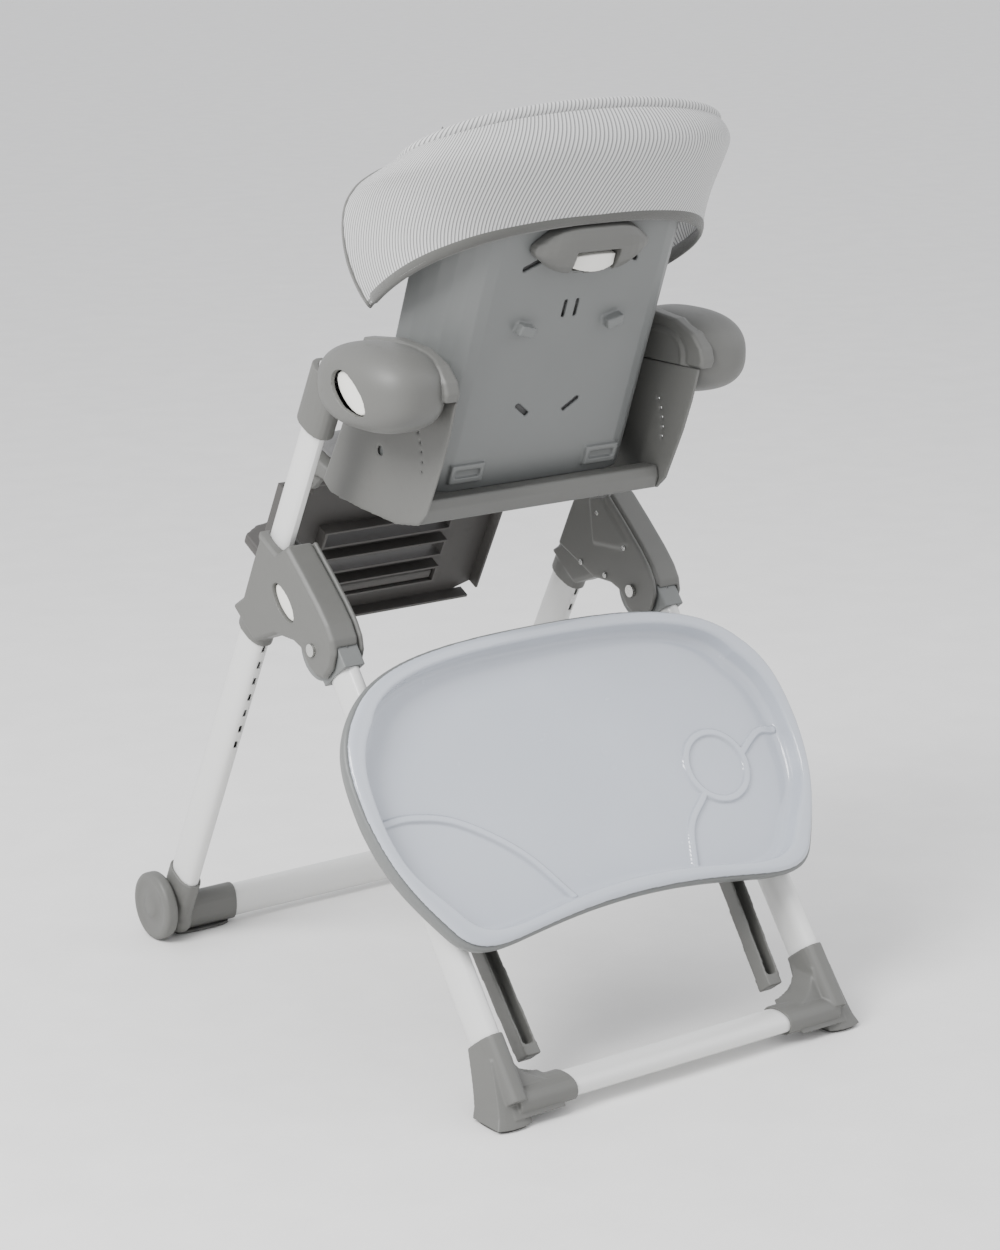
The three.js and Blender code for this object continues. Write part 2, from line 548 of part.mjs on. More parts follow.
// The seat's floor, its rear bar, the pan that carries on forward, and the ears that hold the calf rest.
function tub() {
  const { floorZ, floor, barY, barTop, frontY, panHalf } = TUB;
  const inside = TUB.x - TUB.wall - GAP;
  const top = floorZ + floor;
  const base = plateX([
    [-55, top], [68, floorZ - 2], [112, floorZ + 3], [118, 620], [115, barTop], [barY, barTop],
    [barY, top + 2], [68, top - 1], [-55, top + 9],
  ], -inside, inside);
  const pan = plateX([
    [frontY, 626], [frontY + 8, 618], [-50, top + 1], [-40, top], [-40, top + 5], [-60, top + 9],
    [frontY + 4, 644], [frontY, 638],
  ], -panHalf, panHalf);
  const { lugOut, radius } = CALF_HINGE;
  const ear = cut(
    plateX([[-160, 600], [-154, 596], [-146, 597], [-128, 612], [-128, 620], [-149, 628]],
      lugOut + RUN, lugOut + 9),
    rodX(CALF.hingeY, CALF.hingeZ, radius + RUN, lugOut, lugOut + 10, 12));
  return join(base, pan, ear, ear.mirror([1, 0, 0]));
}

// ---------------------------------------------------------------- back
// Across the back the shell is flat, then its sides turn forward; i runs -1 to 1, d is in front.
function backCurve(i, grow = 0) {
  const { flat, side, wing } = BACK;
  const run = Math.abs(i) * 1.9;
  if (run < 1) return [Math.sign(i) * run * flat, grow];
  const turn = ((run - 1) / 0.9) * 90 * RAD;
  return [
    Math.sign(i) * (flat + (side - grow) * Math.sin(turn)),
    grow + (wing - grow) * (1 - Math.cos(turn)),
  ];
}

// A sheet that follows the shell, between two depths in front of its rear face and two heights.
function backSheet(near, far, low, high, share = 1, columns = 26, rows = 8) {
  return formed(columns, 1, rows, (u, v, w) => {
    const grow = v > 0 ? near : far;
    const [x, d] = backCurve(u * share, grow);
    const h = low(u) + ((w + 1) / 2) * (high(u) - low(u));
    return onBack(x, h, d);
  });
}

// A block set on the back: its middle at (x, h), turned in the back's plane, between two depths.
function backBlock(x, h, long, tall, turn, d0, d1) {
  return formed(1, 1, 1, (u, v, w) => {
    const a = (u * long) / 2;
    const b = (w * tall) / 2;
    const across = a * Math.cos(turn) - b * Math.sin(turn);
    const up = a * Math.sin(turn) + b * Math.cos(turn);
    return onBack(x + across, h + up, v > 0 ? d0 : d1);
  });
}

function backShell() {
  const low = (u) => 3 + 10 * Math.abs(u) ** 6;
  const high = (u) => BACK.length - 60 * Math.abs(u) ** 4;
  const through = [-10, BACK.thick + 10];
  let shell = backSheet(0, BACK.thick, low, high);
  for (const sign of [-1, 1]) {
    const clip = cut(
      backBlock(sign * BACK_CLIP.x, BACK_CLIP.h, 46, 24, 0, -BACK_CLIP.proud, 1),
      backBlock(sign * BACK_CLIP.x, BACK_CLIP.h, 34, 10, 0, -BACK_CLIP.proud - 1, -1));
    shell = join(shell, clip, backBlock(sign * 61, BACK_SLOTS.anchor, 22, 12, sign * 15 * RAD, -12, 1));
    shell = cut(shell,
      backBlock(sign * 67, BACK_SLOTS.upper, 26, 6, sign * -25 * RAD, ...through),
      backBlock(sign * 34, BACK_SLOTS.lower, 24, 6, sign * 38 * RAD, ...through),
      backBlock(sign * 8, BACK_SLOTS.middle, 4.5, 22, 0, ...through));
  }
  const reach = BACK.flat + BACK.side;
  const stub = rodX(RECLINE.y, RECLINE.z, 11, reach - 6, TUB.x - TUB.wall - RUN, 20);
  return join(shell, stub, stub.mirror([1, 0, 0]));
}

function reclineHandle() {
  const made = formed(14, 4, 5, (u, v, w) => {
    const round = Math.sqrt(Math.max(0, 1 - 0.5 * w * w));
    const ends = (1 - Math.abs(u) ** 4 * 0.55);
    const d = -GAP - ((1 - v) / 2) * HANDLE.proud * round * ends;
    return onBack(u * HANDLE.half * Math.sqrt(1 - 0.25 * w * w), HANDLE.h + w * HANDLE.tall / 2 * ends, d);
  });
  const room = formed(1, 1, 1, (u, v, w) => onBack(u * 30, HANDLE.h - 12 + w * 14, -8 - 20 * (1 - v)));
  return cut(made, room);
}

function reclineTrigger() {
  return formed(8, 2, 3, (u, v, w) => {
    const ends = 1 - 0.35 * u * u;
    return onBack(u * 29, HANDLE.h - 13 + w * 11 * ends, -9 - (1 - v) * 8 * ends);
  });
}

// ---------------------------------------------------------------- soft goods, plain
function seatCushion() {
  const rise = (y) => 617 + Math.max(0, (-60 - y) * 0.34) - Math.max(0, (y + 60) * 0.08);
  return formed(8, 6, 2, (u, v, w) => {
    const y = -148 + ((v + 1) / 2) * 138;
    const crown = 0.75 + 0.25 * Math.sqrt(Math.max(0, (1 - u * u) * (1 - v * v)));
    return [u * 138, y, rise(y) + GAP + ((w + 1) / 2) * 24 * crown];
  });
}

function backCushion() {
  return backSheet(BACK.thick + 1, BACK.thick + 25,
    () => 30, (u) => BACK.length - 30 - 40 * u ** 4, 0.8, 18, 6);
}

function hood() {
  return formed(24, 1, 7, (u, v, w) => hoodPoint(u, (w + 1) / 2, v > 0 ? 0 : HOOD.thick));
}

// The hood wraps the top of the back like a wide collar: i runs across it from one front edge to
// the other, k runs up from its lower edge, and inward is measured through its thickness.
function hoodPoint(i, k, inward) {
  const far = Math.abs(i);
  const turn = HOOD.turn * far;
  const half = HOOD.lowHalf + (HOOD.topHalf - HOOD.lowHalf) * k - inward;
  const x = Math.sign(i) * half * Math.sin(turn);
  const low = HOOD.low - (HOOD.low - HOOD_FRONT.low) * far ** 2.3;
  const top = HOOD.top - (HOOD.top - HOOD_FRONT.top) * far ** 2.2;
  const front = HOOD_FRONT.depth + HOOD_FRONT.bulge * Math.sin(Math.PI * k) ** 0.7;
  const curl = HOOD.curl * k ** 7 * (1 - far ** 2);
  const d = -HOOD.proud + front * far ** 2.4 + curl + inward * Math.cos(turn);
  return onBack(x, low + (top - low) * k, d);
}

// The head cushion cups the child's head, so it curves more than the back does.
function headCushion() {
  const { half, reach, near, thick, low, top } = HEAD;
  return formed(14, 1, 4, (u, v, w) => {
    const turn = 80 * RAD * Math.abs(u);
    const inward = v > 0 ? 0 : thick;
    const x = Math.sign(u) * (half - inward) * Math.sin(turn);
    const rise = low + (top - low) * ((w + 1) / 2) - 16 * u * u * (w + 1) / 2;
    return onBack(x, rise, near + inward + reach * (1 - Math.cos(turn)));
  });
}

// Flat webbing along a smooth line through the points, its width lying along "across".
function strap(points, across, steps = 12) {
  const path = new THREE.CatmullRomCurve3(points.map((p) => new THREE.Vector3(...p)));
  const side = new THREE.Vector3(...across).normalize();
  return formed(1, 1, steps, (u, v, w) => {
    const at = path.getPoint((w + 1) / 2);
    const out = new THREE.Vector3().crossVectors(path.getTangent((w + 1) / 2), side).normalize();
    return at.addScaledVector(side, (u * WEB.wide) / 2).addScaledVector(out, (v * WEB.thick) / 2).toArray();
  });
}

const { x: BUCKLE_X, y: BUCKLE_Y, z: BUCKLE_Z } = BUCKLE;

function shoulderStrap() {
  const face = BACK.thick + 28;
  return strap([
    onBack(58, BACK_SLOTS.upper - 44, face), onBack(50, 190, face + 4), onBack(40, 130, face + 14),
    onBack(30, 80, face + 30), [20, BUCKLE_Y + 34, BUCKLE_Z + 12],
  ], [1, 0, 0]);
}

function waistStrap() {
  const end = BUCKLE_X + BUCKLE.half + 2;
  return strap([
    [128, -22, BUCKLE_Z + 2], [90, -34, BUCKLE_Z + 4], [end + 20, BUCKLE_Y - 1, BUCKLE_Z + 2],
    [end, BUCKLE_Y, BUCKLE_Z],
  ], [0, 0.5, 0.87], 8);
}

function crotchStrap() {
  const end = BUCKLE_Y - BUCKLE.deep / 2 - 1;
  return strap([
    [0, end - 44, BUCKLE_Z + 7], [0, end - 24, BUCKLE_Z + 2.5], [0, end, BUCKLE_Z],
  ], [1, 0, 0], 5);
}

function buckle() {
  const { half, deep, tall } = BUCKLE;
  const body = egg(BUCKLE_X, BUCKLE_Y, BUCKLE_Z, half, deep / 2, tall / 2, 3.2, 16, 8);
  const well = rodZ(BUCKLE_X, BUCKLE_Y, BUCKLE.button + RUN, BUCKLE_Z - 1, BUCKLE_Z + tall);
  return cut(body, well);
}

function buckleButton() {
  return rodZ(BUCKLE_X, BUCKLE_Y, BUCKLE.button, BUCKLE_Z + 3, BUCKLE_Z + BUCKLE.tall / 2 + 1.5);
}

// ---------------------------------------------------------------- calf rest and foot plate
function calfRest() {
  const { half, length, thick, rim } = CALF;
  const plate = formed(12, 1, 6, (u, v, w) => {
    const round = Math.abs(u) ** 8 * 14;
    const h = w > 0 ? 14 + (length - 14 - round) * ((w + 1) / 2) : 14 + (length - 14) * ((w + 1) / 2);
    return onCalf(u * half, h, v > 0 ? rim : rim + thick);
  });
  const wall = (x0, x1, h0, h1) => formed(1, 1, 1, (u, v, w) => onCalf(
    (x0 + x1) / 2 + ((x1 - x0) / 2) * u, (h0 + h1) / 2 + ((h1 - h0) / 2) * w, v > 0 ? 0 : rim + 1));
  let made = join(plate,
    wall(-half, -half + 3, 14, length - 14), wall(half - 3, half, 14, length - 14),
    wall(-half + 12, half - 12, length - 4, length - 0.5));
  for (let i = 0; i < 3; i += 1) {
    const h = CALF_SLOTS.first + i * CALF_SLOTS.pitch;
    const frame = wall(-CALF_SLOTS.half - 4, CALF_SLOTS.half + 4,
      h - CALF_SLOTS.tall / 2 - 3, h + CALF_SLOTS.tall / 2 + 3);
    made = join(made, frame);
  }
  for (let i = 0; i < 3; i += 1) {
    const h = CALF_SLOTS.first + i * CALF_SLOTS.pitch;
    const slot = formed(1, 1, 1, (u, v, w) => onCalf(
      u * CALF_SLOTS.half, h + (w * CALF_SLOTS.tall) / 2, v > 0 ? -5 : rim + 12));
    made = made.subtract(slot);
  }
  const { lugIn, lugOut, radius } = CALF_HINGE;
  const lug = join(wall(lugIn, lugOut, 2, 22), rodX(CALF.hingeY, CALF.hingeZ, radius + 4, lugIn, lugOut, 16),
    rodX(CALF.hingeY, CALF.hingeZ, radius, lugOut - 1, lugOut + 8, 12));
  return join(made, lug, lug.mirror([1, 0, 0]));
}

function calfCushion() {
  const face = CALF.rim + CALF.thick + GAP;
  return formed(6, 2, 3, (u, v, w) => {
    const crown = 0.7 + 0.3 * Math.sqrt((1 - u * u) * (1 - w * w));
    return onCalf(u * 148, 46 + w * 38, face + ((1 - v) / 2) * 22 * crown);
  });
}

function footrest() {
  const { half, depth, thick } = FOOTREST;
  const h = CALF_SLOTS.first + 2 * CALF_SLOTS.pitch;
  const start = CALF.rim + CALF.thick + RUN;
  const tongue = formed(1, 1, 1, (u, v, w) => onCalf(
    u * (CALF_SLOTS.half - 2), h + w * (CALF_SLOTS.tall / 2 - 3), v > 0 ? 2 : start + 8));
  const plate = formed(10, 5, 1, (u, v, w) => {
    const corner = 1 - 0.16 * Math.abs(u) ** 6 * Math.max(0, -v);
    const d = start + (depth * (1 - v)) / 2 * corner;
    return onCalf(u * half, h + (w * thick) / 2, d);
  });
  return join(tongue, plate);
}

// ---------------------------------------------------------------- tray
// Half-width of the tray at t down the legs, and the outline's corners rounded.
function trayOutline(inset) {
  const { half, top, bottom, dip } = TRAY;
  const shape = new THREE.Shape();
  const w = half - inset;
  const t0 = top + inset;
  const t1 = bottom - inset;
  shape.moveTo(0, t0);
  shape.bezierCurveTo(150, t0, 232, t0 + 12, w - 34, t0 + 62);
  shape.bezierCurveTo(w - 2, t0 + 96, w, t0 + 130, w - 1, t0 + 178);
  shape.bezierCurveTo(w - 6, t0 + 245, w - 26, t1 - 70, w - 56, t1 - 24);
  shape.bezierCurveTo(w - 74, t1 + 2, w - 104, t1, w - 136, t1 - 4);
  shape.bezierCurveTo(w - 190, t1 - 12, 70, t1 - dip, 0, t1 - dip);
  shape.bezierCurveTo(-70, t1 - dip, 190 - w, t1 - 12, 136 - w, t1 - 4);
  shape.bezierCurveTo(104 - w, t1, 74 - w, t1 + 2, 56 - w, t1 - 24);
  shape.bezierCurveTo(26 - w, t1 - 70, 6 - w, t0 + 245, 1 - w, t0 + 178);
  shape.bezierCurveTo(-w, t0 + 130, 2 - w, t0 + 96, 34 - w, t0 + 62);
  shape.bezierCurveTo(-232, t0 + 12, -150, t0, 0, t0);
  return shape;
}

// Points round the tray's outline, drawn in by an inset and set at a height behind the legs.
function trayRing(inset, n) {
  const points = trayOutline(inset).getPoints(4);
  points.pop();
  return points.map((p) => onTray(p.x, p.y, n));
}

// A solid skinned over rings of equal count, closed by a flat cap at each end.
function loft(rings) {
  const count = rings[0].length;
  const capOutline = rings[0].map(([x, y, z]) => new THREE.Vector2(
    x, y * Math.sin(REAR_LEAN) - z * Math.cos(REAR_LEAN)));
  const cap = THREE.ShapeUtils.triangulateShape(capOutline, []);
  const index = [];
  for (let ring = 0; ring + 1 < rings.length; ring += 1) {
    for (let i = 0; i < count; i += 1) {
      const a = ring * count + i;
      const b = ring * count + ((i + 1) % count);
      index.push(a, b, b + count, a, b + count, a + count);
    }
  }
  const last = (rings.length - 1) * count;
  for (const [a, b, c] of cap) index.push(c, b, a, last + a, last + b, last + c);
  const geometry = new THREE.BufferGeometry();
  geometry.setAttribute("position", new THREE.Float32BufferAttribute(rings.flat(2), 3));
  geometry.setIndex(index);
  const made = solid(geometry);
  if (made.volume() > 0) return made;
  geometry.index.array.reverse();
  return solid(geometry);
}

const traySlab = (inset, n0, n1) => loft([trayRing(inset, n0), trayRing(inset, n1)]);

function trayBody() {
  const { seat, rim, floor } = TRAY;
  const edge = rim - 6;
  const dish = loft([trayRing(14, seat), trayRing(3, seat + 10), trayRing(0, edge - 4), trayRing(2, edge)]);
  const hooks = [-1, 1].map((sign) => formed(1, 1, 1, (u, v, w) => onTray(
    sign * LEG_X + u * 16, TRAY_HOOK.t + w * TRAY_HOOK.half, v > 0 ? TUBE.wide / 2 + RUN : seat + 1)));
  return cut(join(dish, ...hooks), traySlab(13, seat + floor, rim + 1));
}

function trayLiner() {
  const { seat, rim, floor } = TRAY;
  const skin = 2.6;
  const lipBase = rim - 6 + GAP;
  const cup = loft([
    trayRing(23, seat + floor + GAP), trayRing(17, seat + floor + 6), trayRing(16, lipBase - 1),
    trayRing(16, rim - 2)]);
  const hollow = loft([
    trayRing(27, seat + floor + GAP + skin), trayRing(20, seat + floor + 8), trayRing(19, rim + 1)]);
  const lip = loft([trayRing(3, lipBase), trayRing(3, lipBase + 2), trayRing(6, rim - 1), trayRing(10, rim)]);
  let liner = cut(join(cup, lip), hollow);
  const floorTop = seat + floor + GAP + skin;
  for (const rib of TRAY_RIBS) liner = join(liner, trayRib(rib, floorTop - 1, floorTop + 4));
  return liner;
}

// A low round-topped rib on the liner's floor, along a smooth line of [x, t] points.
function trayRib(points, n0, n1) {
  const path = new THREE.CatmullRomCurve3(points.map(([x, t]) => new THREE.Vector3(x, t, 0)));
  return formed(1, 1, 8, (u, v, w) => {
    const at = path.getPoint((w + 1) / 2);
    const dir = path.getTangent((w + 1) / 2);
    const half = v > 0 ? 5 : 2.5;
    return onTray(at.x - dir.y * u * half, at.y + dir.x * u * half, v > 0 ? n0 : n1);
  });
}

function cupRing() {
  const { x, t, radius } = TRAY_CUP;
  const round = Array.from({ length: 13 }, (_, i) => {
    const turn = (i / 12) * 2 * Math.PI;
    return [x + radius * Math.cos(turn), t + radius * Math.sin(turn)];
  });
  return [round.slice(0, 7), round.slice(6)];
}

const TRAY_RIBS = [
  [[286, -241], [240, -242], [184, -225], [120, -176], [76, -114]],
  [[-285, -250], [-262, -252], [TRAY_CUP.x - TRAY_CUP.radius, TRAY_CUP.t - 8]],
  [[-150, -190], [-118, -160], [-100, -112]],
  ...cupRing(),
];

function trayArm() {
  const { x, toe, thick, deep, reach, start, level } = TRAY_ARM;
  const across = (t) => x - (toe * (t - start)) / (reach - start);
  const bar = formed(1, 1, 1, (u, v, w) => {
    const t = w > 0 ? reach : start;
    return onTray(across(t) + (u * thick) / 2, t, level - (v * deep) / 2);
  });
  const channel = formed(1, 1, 1, (u, v, w) => {
    const t = w > 0 ? reach - 14 : start + 8;
    return onTray(across(t) + u * (thick / 2 - 3), t, v > 0 ? level + deep : level - deep / 2 + 4);
  });
  const posts = TRAY_ARM_POSTS.map((t) => formed(1, 1, 1, (u, v, w) => onTray(
    across(t) + (u * thick) / 2, t + w * 16, v > 0 ? TRAY.seat - GAP : level - deep / 2 + 2)));
  return join(cut(bar, channel), ...posts);
}

function trayRelease() {
  return formed(4, 1, 1, (u, v, w) => onTray(
    u * 34, TRAY.top + 56 + w * 12, v > 0 ? TRAY.seat - GAP : TRAY.seat - GAP - 9 + 3 * u * u));
}

const everySide = [["left", 1], ["right", -1]];
const root = new THREE.Group();

function sidePieces(side) {
  const group = new THREE.Group();
  const add = (name, made, material) => group.add(node(`${name}_${side}`, made, material));
  add("front_leg_tube", frontLegTube(), WHITE_TUBE);
  add("front_foot", frontFoot(), GREY_PLASTIC);
  add("front_foot_pad", frontFootPad(), RUBBER);
  add("wheel_axle", wheelAxle(), STEEL);
  add("front_wheel", frontWheel(), GREY_PLASTIC);
  add("leg_hub", legHub(), GREY_PLASTIC);
  add("leg_hub_cover", legHubCover(), GREY_PLASTIC);
  add("fold_pin", foldPin(), STEEL);
  add("fold_trigger", ovalTrigger(FOLD_TRIGGER, HUB.outerX - 4, 11), IVORY);
  add("rear_leg_knuckle", knuckle(), PALE_PLASTIC);
  add("rear_leg_tube", rearLegTube(), WHITE_TUBE);
  add("rear_foot", rearFoot(), GREY_PLASTIC);
  add("rear_foot_pad", rearFootPad(), RUBBER);
  add("seat_slide_tube", slideTube(), WHITE_TUBE);
  add("armrest", armrest(), GREY_PLASTIC);
  add("side_panel", sidePanel(), GREY_PLASTIC);
  add("height_trigger", ovalTrigger(HEIGHT_TRIGGER, 256, 11), IVORY);
  add("shoulder_strap", shoulderStrap(), WEBBING);
  add("waist_strap", waistStrap(), WEBBING);
  add("tray_arm", trayArm(), DARK_PLASTIC);
  return group;
}

for (const [side, sign] of everySide) {
  const group = sidePieces(side);
  group.scale.x = sign;
  root.add(group);
}

root.add(node("front_crossbar",
  crossbar(FRONT_BAR, TUBE.thick, TUBE.wide - 6, SLEEVE_END_X.front + 40), WHITE_TUBE));
root.add(node("rear_crossbar",
  crossbar(REAR_BAR, TUBE.wide - 4, REAR_BAR_FLAT, SLEEVE_END_X.rear + 40), WHITE_TUBE));
root.add(node("seat_tub", tub(), GREY_PLASTIC));
root.add(node("back_shell", backShell(), PALE_PLASTIC));
root.add(node("recline_handle", reclineHandle(), PALE_PLASTIC));
root.add(node("recline_trigger", reclineTrigger(), IVORY));
root.add(node("hood", hood(), STRIPED));
root.add(node("back_cushion", backCushion(), PADDING));
root.add(node("head_cushion", headCushion(), PADDING));
root.add(node("seat_cushion", seatCushion(), PADDING));
root.add(node("calf_rest", calfRest(), DARK_PLASTIC));
root.add(node("footrest", footrest(), GREY_PLASTIC));
root.add(node("tray", trayBody(), GREY_PLASTIC));
root.add(node("tray_liner", trayLiner(), CLEAR_LINER));
root.add(node("tray_release", trayRelease(), IVORY));
root.add(node("calf_cushion", calfCushion(), PADDING));
root.add(node("crotch_strap", crotchStrap(), WEBBING));
root.add(node("buckle", buckle(), DARK_PLASTIC));
root.add(node("buckle_button", buckleButton(), IVORY));

export default root;
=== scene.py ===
"""A folding baby high chair: the looks of each piece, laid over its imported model.

Sizes are metres. +Z is up, the child faces -Y, and the child's left is +X.
"""
import logging
import math
from dataclasses import dataclass, field
from enum import Enum
from functools import cache
from typing import Callable, Sequence

import bmesh
import bpy
import numpy as np
from mathutils import Matrix, Vector


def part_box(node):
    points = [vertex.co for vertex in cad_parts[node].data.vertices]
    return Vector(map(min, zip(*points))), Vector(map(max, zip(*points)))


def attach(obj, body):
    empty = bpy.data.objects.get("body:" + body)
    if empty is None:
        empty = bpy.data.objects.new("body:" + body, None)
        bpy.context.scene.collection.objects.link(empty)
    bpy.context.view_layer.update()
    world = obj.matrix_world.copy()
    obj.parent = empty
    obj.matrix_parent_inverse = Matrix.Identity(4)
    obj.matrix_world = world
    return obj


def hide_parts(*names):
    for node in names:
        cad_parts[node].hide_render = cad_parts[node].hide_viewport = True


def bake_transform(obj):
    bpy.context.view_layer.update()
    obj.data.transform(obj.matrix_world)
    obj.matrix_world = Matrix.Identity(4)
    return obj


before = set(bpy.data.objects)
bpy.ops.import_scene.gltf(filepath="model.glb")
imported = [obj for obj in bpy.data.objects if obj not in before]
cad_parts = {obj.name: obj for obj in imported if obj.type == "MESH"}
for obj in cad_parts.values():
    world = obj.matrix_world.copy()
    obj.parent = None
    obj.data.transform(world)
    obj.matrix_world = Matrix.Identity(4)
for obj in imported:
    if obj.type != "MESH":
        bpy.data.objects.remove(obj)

LOG = logging.getLogger("high_chair")
Triple = tuple[float, float, float]
Placer = Callable[[float, float], Vector]


class Side(Enum):
    """The two sides of the chair, as the child sits."""

    LEFT = 1
    RIGHT = -1

    @property
    def tail(self) -> str:
        """The end of the names of pieces on this side."""
        return f"_{self.name.lower()}"


class Held(Enum):
    """How a sheet of cloth is held."""

    STRETCHED = "stretched"


def srgb(red: int, green: int, blue: int) -> Triple:
    """Turns a screen colour into the linear one that shaders take.

    Args:
        red, green, blue: From 0 to 255.

    Returns:
        The linear colour.
    """
    def line(value: int) -> float:
        """One channel, made linear."""
        share = value / 255
        return share / 12.92 if share <= 0.04045 else ((share + 0.055) / 1.055) ** 2.4

    return line(red), line(green), line(blue)


# ------------------------------------------------------------------ shader sums
class Wire:
    """One shader value. Sums written with it add the Math nodes that work them out."""

    def __init__(self, shader: "Shader", socket: bpy.types.NodeSocket) -> None:
        """Keeps the socket and the shader that it belongs to."""
        self.shader = shader
        self.socket = socket

    def __add__(self, other: "Wire | float") -> "Wire":
        """Self plus other."""
        return self.shader.maths("ADD", self, other)

    def __radd__(self, other: float) -> "Wire":
        """Other plus self."""
        return self.shader.maths("ADD", other, self)

    def __sub__(self, other: "Wire | float") -> "Wire":
        """Self less other."""
        return self.shader.maths("SUBTRACT", self, other)

    def __rsub__(self, other: float) -> "Wire":
        """Other less self."""
        return self.shader.maths("SUBTRACT", other, self)

    def __mul__(self, other: "Wire | float") -> "Wire":
        """Self times other."""
        return self.shader.maths("MULTIPLY", self, other)

    def __rmul__(self, other: float) -> "Wire":
        """Other times self."""
        return self.shader.maths("MULTIPLY", other, self)

    def __truediv__(self, other: "Wire | float") -> "Wire":
        """Self over other."""
        return self.shader.maths("DIVIDE", self, other)

    def __pow__(self, other: "Wire | float") -> "Wire":
        """Self to the power of other."""
        return self.shader.maths("POWER", self, other)

    def wave(self) -> "Wire":
        """The sine of self, moved to run from 0 to 1."""
        return self.shader.maths("SINE", self) * 0.5 + 0.5

    def band(self, low: float, high: float) -> "Wire":
        """Self, from 0 at low to 1 at high, with soft ends.

        Args:
            low, high: The values that give 0 and 1.

        Returns:
            The new value.
        """
        return self.shader.node(
            "ShaderNodeMapRange", {"interpolation_type": "SMOOTHSTEP"},
            {"Value": self, "From Min": low, "From Max": high})


class Shader:
    """A material in the making: its nodes, and the Principled shader they feed."""

    def __init__(self, name: str) -> None:
        """Starts an empty material with a Principled shader.

        Args:
            name: The material's name.
        """
        self.material = bpy.data.materials.new(name)
        self.material.use_nodes = True
        self.tree = self.material.node_tree
        self.tree.nodes.clear()
        self.surface = self.tree.nodes.new("ShaderNodeBsdfPrincipled")
        output = self.tree.nodes.new("ShaderNodeOutputMaterial")
        self.tree.links.new(self.surface.outputs[0], output.inputs["Surface"])

    def node(self, kind: str, settings: dict | None = None, values: dict | None = None,
             output: int | str = 0) -> Wire:
        """Adds a node.

        Args:
            kind: The node's type.
            settings: What is set first; "stops" gives a ramp's (place, colour) pairs.
            values: Number, colour or Wire for each input, by name or index.
            output: The output that is wanted.

        Returns:
            That output.
        """
        node = self.tree.nodes.new(kind)
        for key, value in (settings or {}).items():
            if key == "stops":
                for spot, (place, colour) in zip(node.color_ramp.elements, value):
                    spot.position, spot.color = place, (*colour, 1)
            else:
                setattr(node, key, value)
        for key, value in (values or {}).items():
            self.feed(node.inputs[key], value)
        return Wire(self, node.outputs[output])

    def feed(self, socket: bpy.types.NodeSocket, value: "Wire | float | Sequence[float]") -> None:
        """Links a value to an input, or sets it.

        Args:
            socket: The input.
            value: What goes in.
        """
        if isinstance(value, Wire):
            self.tree.links.new(value.socket, socket)
        elif hasattr(value, "__len__") and len(value) == 3 and socket.type == "RGBA":
            socket.default_value = (*value, 1)
        else:
            socket.default_value = value

    def maths(self, operation: str, *terms: Wire | float) -> Wire:
        """A Math node's result for one or two terms."""
        return self.node("ShaderNodeMath", {"operation": operation}, dict(enumerate(terms)))

    def mix(self, share: Wire | float, first: Wire | Triple, second: Wire | Triple) -> Wire:
        """A mix of two colours.

        Args:
            share: 0 gives the first and 1 gives the second.
            first, second: The colours.

        Returns:
            The mixed colour.
        """
        return self.node("ShaderNodeMix", {"data_type": "RGBA"},
                         {"Factor": share, 6: first, 7: second}, output=2)

    def place(self) -> Wire:
        """The point on the piece, in metres."""
        return self.node("ShaderNodeTexCoord", output="Object")

    def cloth(self) -> Wire:
        """The point on the flat cloth that a piece was cut from, in metres."""
        return self.node("ShaderNodeAttribute", {"attribute_name": "cloth"}, output="Vector")

    def along(self, place: Wire, way: Triple) -> Wire:
        """How far a place lies along a direction."""
        return self.node("ShaderNodeVectorMath", {"operation": "DOT_PRODUCT"},
                         {0: place, 1: way}, output="Value")

    def noise(self, place: Wire, size: float, detail: float = 3) -> Wire:
        """Cloudy values about 0.5 whose clouds are about that size.

        Args:
            place: Where on the piece.
            size: In metres.
            detail: How many finer layers are added.

        Returns:
            The values.
        """
        return self.node("ShaderNodeTexNoise", None, {"Vector": place, "Scale": 1 / size, "Detail": detail})

    def bump(self, height: Wire, depth: float, below: Wire | None = None) -> Wire:
        """A surface normal with raised and sunk places.

        Args:
            height: From 0 to 1.
            depth: How high 1 stands, in metres.
            below: Bumps that this one is laid over.

        Returns:
            The normal.
        """
        values = {"Height": height, "Distance": depth, "Strength": 1.0}
        if below is not None:
            values["Normal"] = below
        return self.node("ShaderNodeBump", None, values)

    def finish(self, **sockets: "Wire | float | Sequence[float]") -> bpy.types.Material:
        """Feeds the surface's sockets and gives the material.

        Args:
            **sockets: Each value, by the socket's name with _ for a space.

        Returns:
            The finished material.
        """
        for name, value in sockets.items():
            self.feed(self.surface.inputs[name.replace("_", " ")], value)
        return self.material


